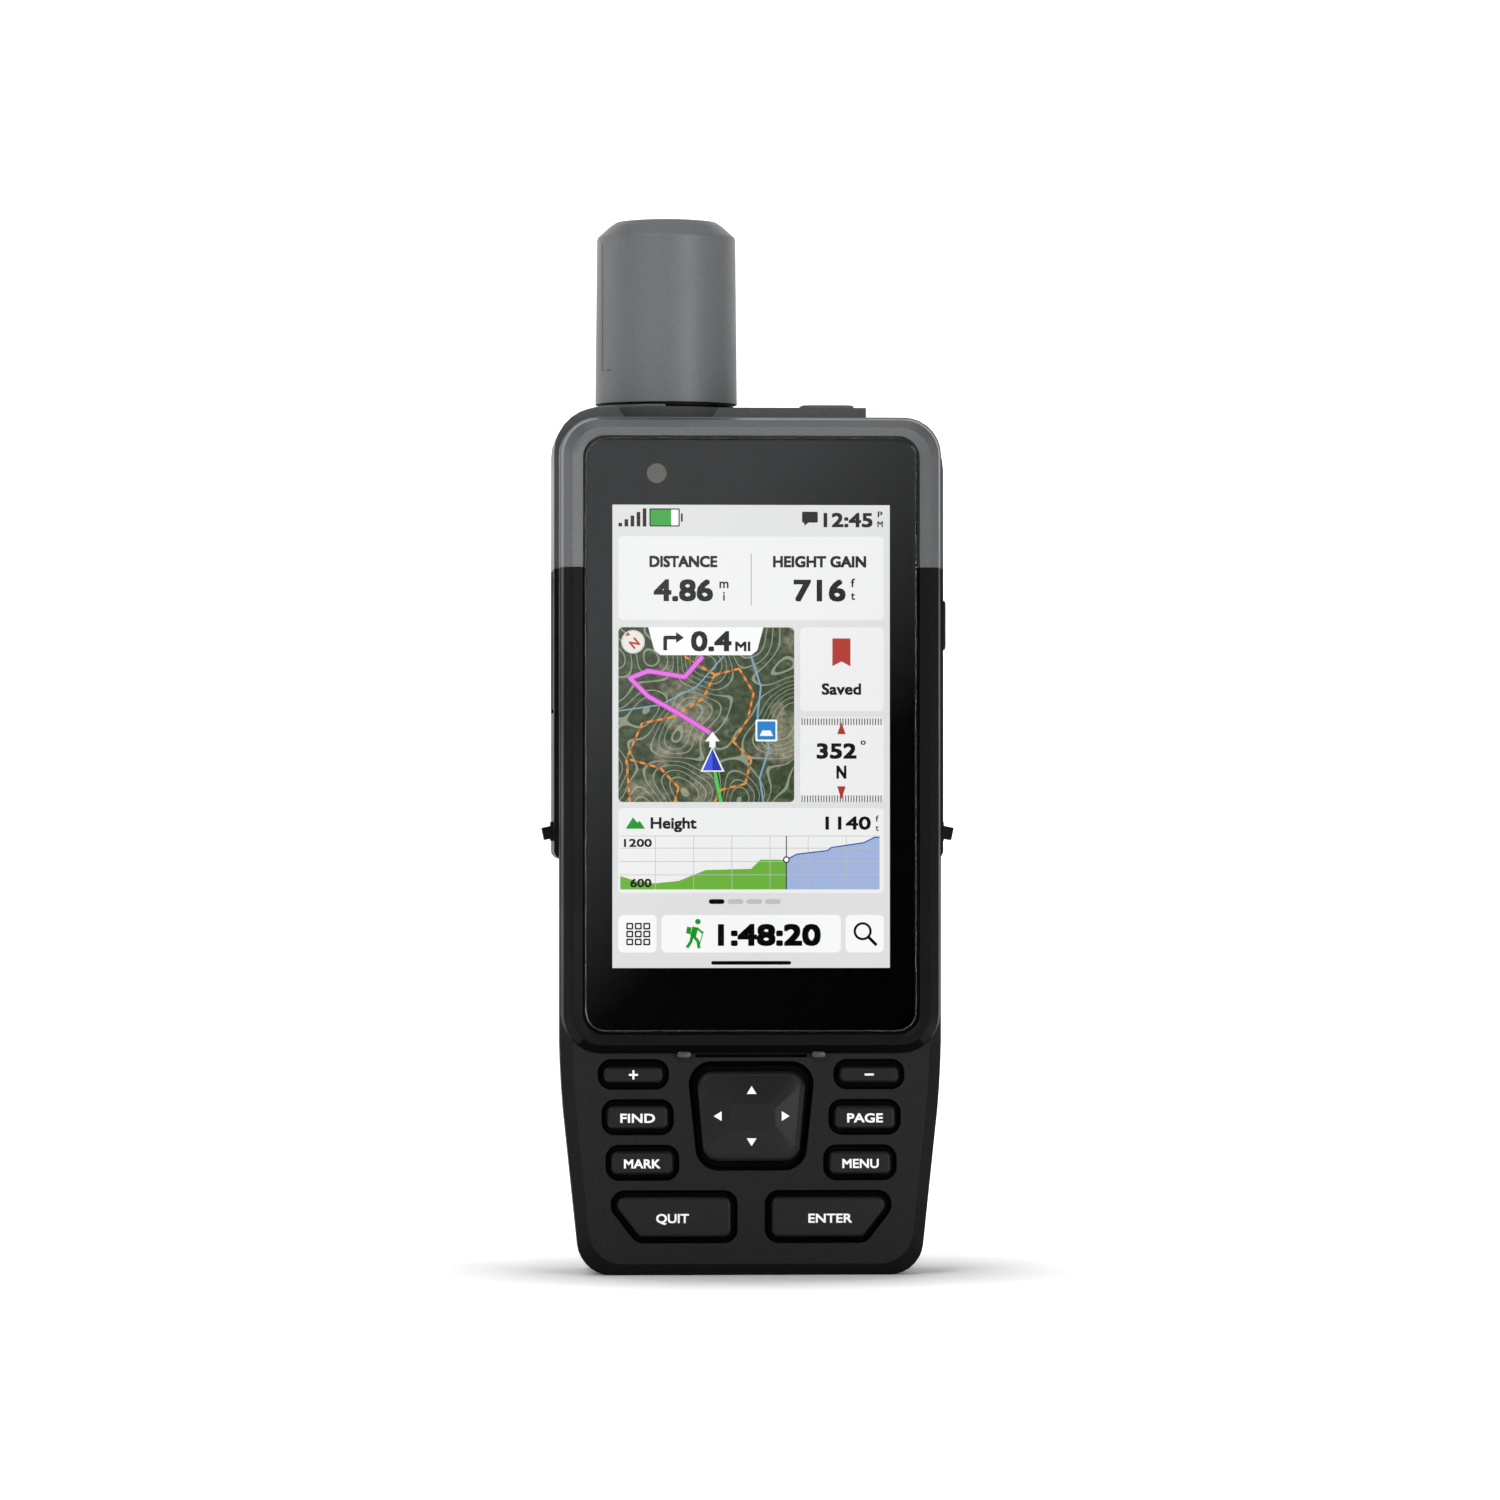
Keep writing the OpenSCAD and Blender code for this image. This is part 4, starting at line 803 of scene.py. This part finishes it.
# ---------------------------------------------------------------- rocker
# A four-way rocker in the same plastic. Four shallow facets rise from its rim to a
# small plate in the middle, and a printed triangle on each facet shows the direction.
low, high = extent("rocker_cap")
ROCKER_Z, PLATE_Y = (low[2] + high[2]) / 2, low[1]
FACET_FALL = 0.65          # a facet falls this far from the plate to the rim, mm
# painted shade on the rocker's sides and flange, behind its rim
refinish(finished_copy("rocker_cap", "rocker", key_plastic, 0.14, 8), painted_shade_black,
         lambda centre, normal: centre.y > -16.2 * MM)
plate = slab("rocker_plate", -3.75, 3.75, PLATE_Y - 0.1, PLATE_Y + 0.2, ROCKER_Z - 2.15, ROCKER_Z + 2.15)
pick(plate, lambda a, b: abs(a.y - b.y) > 0.1 * MM, "EDGE")
bpy.ops.mesh.bevel(offset=1.5 * MM, segments=8, affect="EDGES")
plate_front = (PLATE_Y - 0.1) * MM
pick(plate, lambda a, b: abs(a.y - plate_front) < 1e-6 and abs(b.y - plate_front) < 1e-6, "EDGE")
bpy.ops.mesh.bevel(offset=0.08 * MM, segments=2, affect="EDGES")
close_edit(plate, 30)
plate.data.materials.append(key_plastic)
arrows = []
# each arrow: corners, length of its facet, where the facet starts, and the axis it runs along
for points, run, inner, axis in (
        ([(-0.8, 29.95), (0.8, 29.95), (0, 31.25)], 4.25, 28.55, 1),
        ([(-0.8, 22.65), (0, 21.35), (0.8, 22.65)], 4.25, 24.05, 1),
        ([(-4.95, 25.5), (-4.95, 27.1), (-6.25, 26.3)], 4.1, -3.9, 0),
        ([(4.95, 25.5), (6.25, 26.3), (4.95, 27.1)], 4.1, 3.9, 0)):
    arrow = outline(points, 0)
    for vertex in arrow.data.vertices:
        along = (vertex.co.x, vertex.co.z)[axis] / MM
        vertex.co.y = (PLATE_Y + FACET_FALL * abs(along - inner) / run - 0.035) * MM
    arrows.append(arrow)
arrows = join("rocker_arrows", arrows)
arrows.data.materials.append(ink)
for piece in (plate, arrows):
    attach(piece, "rocker")

# ---------------------------------------------------------------- rear shell
# The deep rear half is the same black moulding below and grey above, where it carries
# the antenna. Six black machine screws reach through it into the front shell.
finished_copy("rear_housing", "shell", black_moulding, 0.28)
# painted shade: the grey above is the cap's plastic painted darker, for the sides and back that face away from
# the light
rear_painted_shade_grey = grained("painted_shade_dark_grey_polycarbonate", "#4b4e50", "#444748", 0.55, 0.01, 0.44,
                    Specular_IOR_Level=0.4)
finished_copy("rear_cap", "shell", rear_painted_shade_grey, 0.28)
# black-oxide steel: almost black with a dull metal shine
oxide = grained("black_oxide_steel", "#2c2d2f", "#222325", 0.4, 0.01, 0.36, Metallic=1.0)
dress(oxide, "case_screws")
finished_copy("side_lugs", "shell", black_moulding, 0.25)
finished_copy("mount_spine", "shell", black_moulding, 0.2)

# ---------------------------------------------------------------- antenna
# A four-arm helix of copper is plated on a ceramic core over its own small board; a
# hollow grey cap with a stepped, rounded end is pushed over it on to a rubber seal.
ceramic = grained("fired_ceramic", "#d9d3c4", "#cbc4b3", 0.6, 0.02, 0.45)
dress(ceramic, "antenna_core")
copper = grained("plated_copper", "#c57a4e", "#b3683d", 0.8, 0.01, 0.28, Metallic=1.0)
dress(copper, "antenna_helix")
jacket = grained("extruded_black_jacket", "#1c1c1d", "#151516", 0.5, 0.02, 0.4)
dress(jacket, "antenna_coax")
# painted shadow: the collar under the cap is painted near black for the shade the cap casts on it
collar_painted_shadow = grained("painted_shadow_collar", "#121314", "#0e0f10", 0.55, 0.01, 0.6,
                      Specular_IOR_Level=0.15)
finished_copy("antenna_collar", "shell", collar_painted_shadow, 0.1)

low, high = extent("antenna_cover")
ANTENNA_X, ANTENNA_Y = (low[0] + high[0]) / 2, (low[1] + high[1]) / 2
# radius and height of each ring, from the foot up
CAP_RINGS = ((11.74, 144.3), (11.82, 144.4), (11.55, 171.8), (11.42, 172.25), (11.2, 172.45), (9.6, 173.9),
             (9.35, 174.12), (8.55, 174.66), (8.25, 174.8), (6.2, 175.02), (2.0, 175.18))
bpy.ops.object.select_all(action="DESELECT")
bpy.ops.mesh.primitive_circle_add(vertices=96, radius=CAP_RINGS[0][0] * MM,
                                  location=(ANTENNA_X * MM, ANTENNA_Y * MM, CAP_RINGS[0][1] * MM))
cap = bpy.context.object
cap.name = "antenna_cap"
open_edit(cap, "EDGE")
bpy.ops.mesh.select_all(action="SELECT")
for (r0, z0), (r1, z1) in zip(CAP_RINGS, CAP_RINGS[1:]):
    bpy.ops.mesh.extrude_region_move(TRANSFORM_OT_translate={"value": (0, 0, (z1 - z0) * MM)})
    bpy.ops.transform.resize(value=(r1 / r0, r1 / r0, 1),
                             center_override=(ANTENNA_X * MM, ANTENNA_Y * MM, z1 * MM))
bpy.ops.mesh.edge_face_add()
bpy.ops.mesh.select_all(action="SELECT")
bpy.ops.mesh.normals_make_consistent(inside=False)
close_edit(cap, 30)
wall = cap.modifiers.new("wall", "SOLIDIFY")
wall.thickness, wall.offset = 1.5 * MM, -1
bpy.ops.object.modifier_apply(modifier="wall")
cap.data.materials.append(grey_moulding)
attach(cap, "shell")
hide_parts("antenna_cover")

# the parting line of the mould's side core, up the left of the cap and a short way round it,
# pressed back on to the cap from a flat line drawn in front of it
SEAM_X, SEAM_FOOT = -24.15, 149.8
SEAM = [(SEAM_X, z) for z in (171.0, 164.0, 157.0, SEAM_FOOT)] + [(x, SEAM_FOOT) for x in (-23.4, -22.74)]
seam = line(SEAM, 0.2, -13.0)
seam.name = "antenna_parting_line"
press = seam.modifiers.new("press", "SHRINKWRAP")
press.target, press.wrap_method, press.offset = cap, "PROJECT", 0.04 * MM
press.use_project_y = True
bpy.context.view_layer.objects.active = seam
bpy.ops.object.modifier_apply(modifier="press")
seam.data.materials.append(grained("flashed_grey_edge", "#2c2e2f", "#252728", 0.5, 0.004, 0.5))
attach(seam, "shell")

# ---------------------------------------------------------------- power and side buttons
# Two moulded buttons with soft crowned faces, each on a flange behind its own opening,
# press small tinned switches on the main board.


def button(name, body, node, box, flange, axis, corner, material):
    """A crowned button with its flange, pressed along an axis: the box's outer face is inset
    and raised twice. Boxes are x, y and z from and to, in mm."""
    piece = slab(name, *box)
    pick(piece, lambda a, b: abs((a - b)[axis]) > 0.2 * MM and (a - b).length - abs((a - b)[axis]) < 1e-7,
         "EDGE")
    bpy.ops.mesh.bevel(offset=corner * MM, segments=6, affect="EDGES")
    pick(piece, lambda centre, normal: normal[axis] > 0.9)
    lift = [0, 0, 0]
    lift[axis] = 0.12 * MM
    for margin in (0.3, 0.5):
        bpy.ops.mesh.inset(thickness=margin * MM)
        bpy.ops.transform.translate(value=lift)
        lift[axis] /= 3
    close_edit(piece, 40)
    foot = slab(name + "_flange", *flange)
    close_edit(foot)
    piece = join(name, [piece, foot])
    piece.data.materials.append(material)
    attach(piece, body)
    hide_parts(node)


button("power_key_cap", "power_key", "power_button", (9, 17.9, -3, 5, 141, 144.14),
       (7.9, 19, -4, 6, 140.2, 141.02), 2, 1.6, grey_moulding)
button("side_key_cap", "side_key", "side_button", (30.2, 32.9, -5.3, -0.7, 103.4, 111.6),
       (29.5, 30.22, -6.2, 0.2, 102.5, 112.5), 0, 1.1, key_plastic)

# ---------------------------------------------------------------- port cover
# A rubber flap with a rolled lower edge that bends open over the data socket.
finished_copy("port_cover", "port_flap", rubber, 0.22)

# ---------------------------------------------------------------- battery and door
# A shrink-wrapped pack drops in behind a screwless door. The quarter-turn lock has a
# bent steel ring that folds flat into its dish, and a lanyard bar crosses the base.
sleeve = grained("shrink_wrapped_cells", "#3c4046", "#33373c", 1.5, 0.02, 0.34)
dress(sleeve, "battery_pack")
finished_copy("battery_door", "door", black_moulding, 0.25)
finished_copy("door_lock", "lock", steel, 0.15)
finished_copy("door_ring", "ring", steel, 0.12)

# ---------------------------------------------------------------- torch, speaker and vent
# Small bought-in parts show through the back: a clear lens over the lamp, a
# loudspeaker behind its drilled grille and a white venting membrane.
clear_lens, shader, place = start_material("moulded_clear_acrylic", IOR=1.49, Transmission_Weight=0.9)
ripple = add_node(clear_lens, "TexNoise", {"Vector": place, "Scale": 1 / (1.4 * MM), "Detail": 1})
link(clear_lens, ramp(clear_lens, ripple.outputs["Fac"], (0.3, "#eef3f5"), (0.7, "#f8fbfc")),
     shader.inputs["Base Color"])
gloss = add_node(clear_lens, "MapRange", {"Value": ripple.outputs["Fac"], "To Min": 0.04, "To Max": 0.12})
link(clear_lens, gloss.outputs[0], shader.inputs["Roughness"])
dress(clear_lens, "torch_lens")
phosphor = grained("phosphor_lamp", "#f2d24a", "#e3bd35", 0.4, 0.01, 0.4)
dress(phosphor, "torch_led")
cone = grained("pressed_speaker_frame", "#2b2c2e", "#222325", 0.5, 0.02, 0.5)
dress(cone, "speaker")
membrane = grained("expanded_membrane", "#dcdcd8", "#cfcfca", 0.3, 0.02, 0.75)
dress(membrane, "pressure_vent")
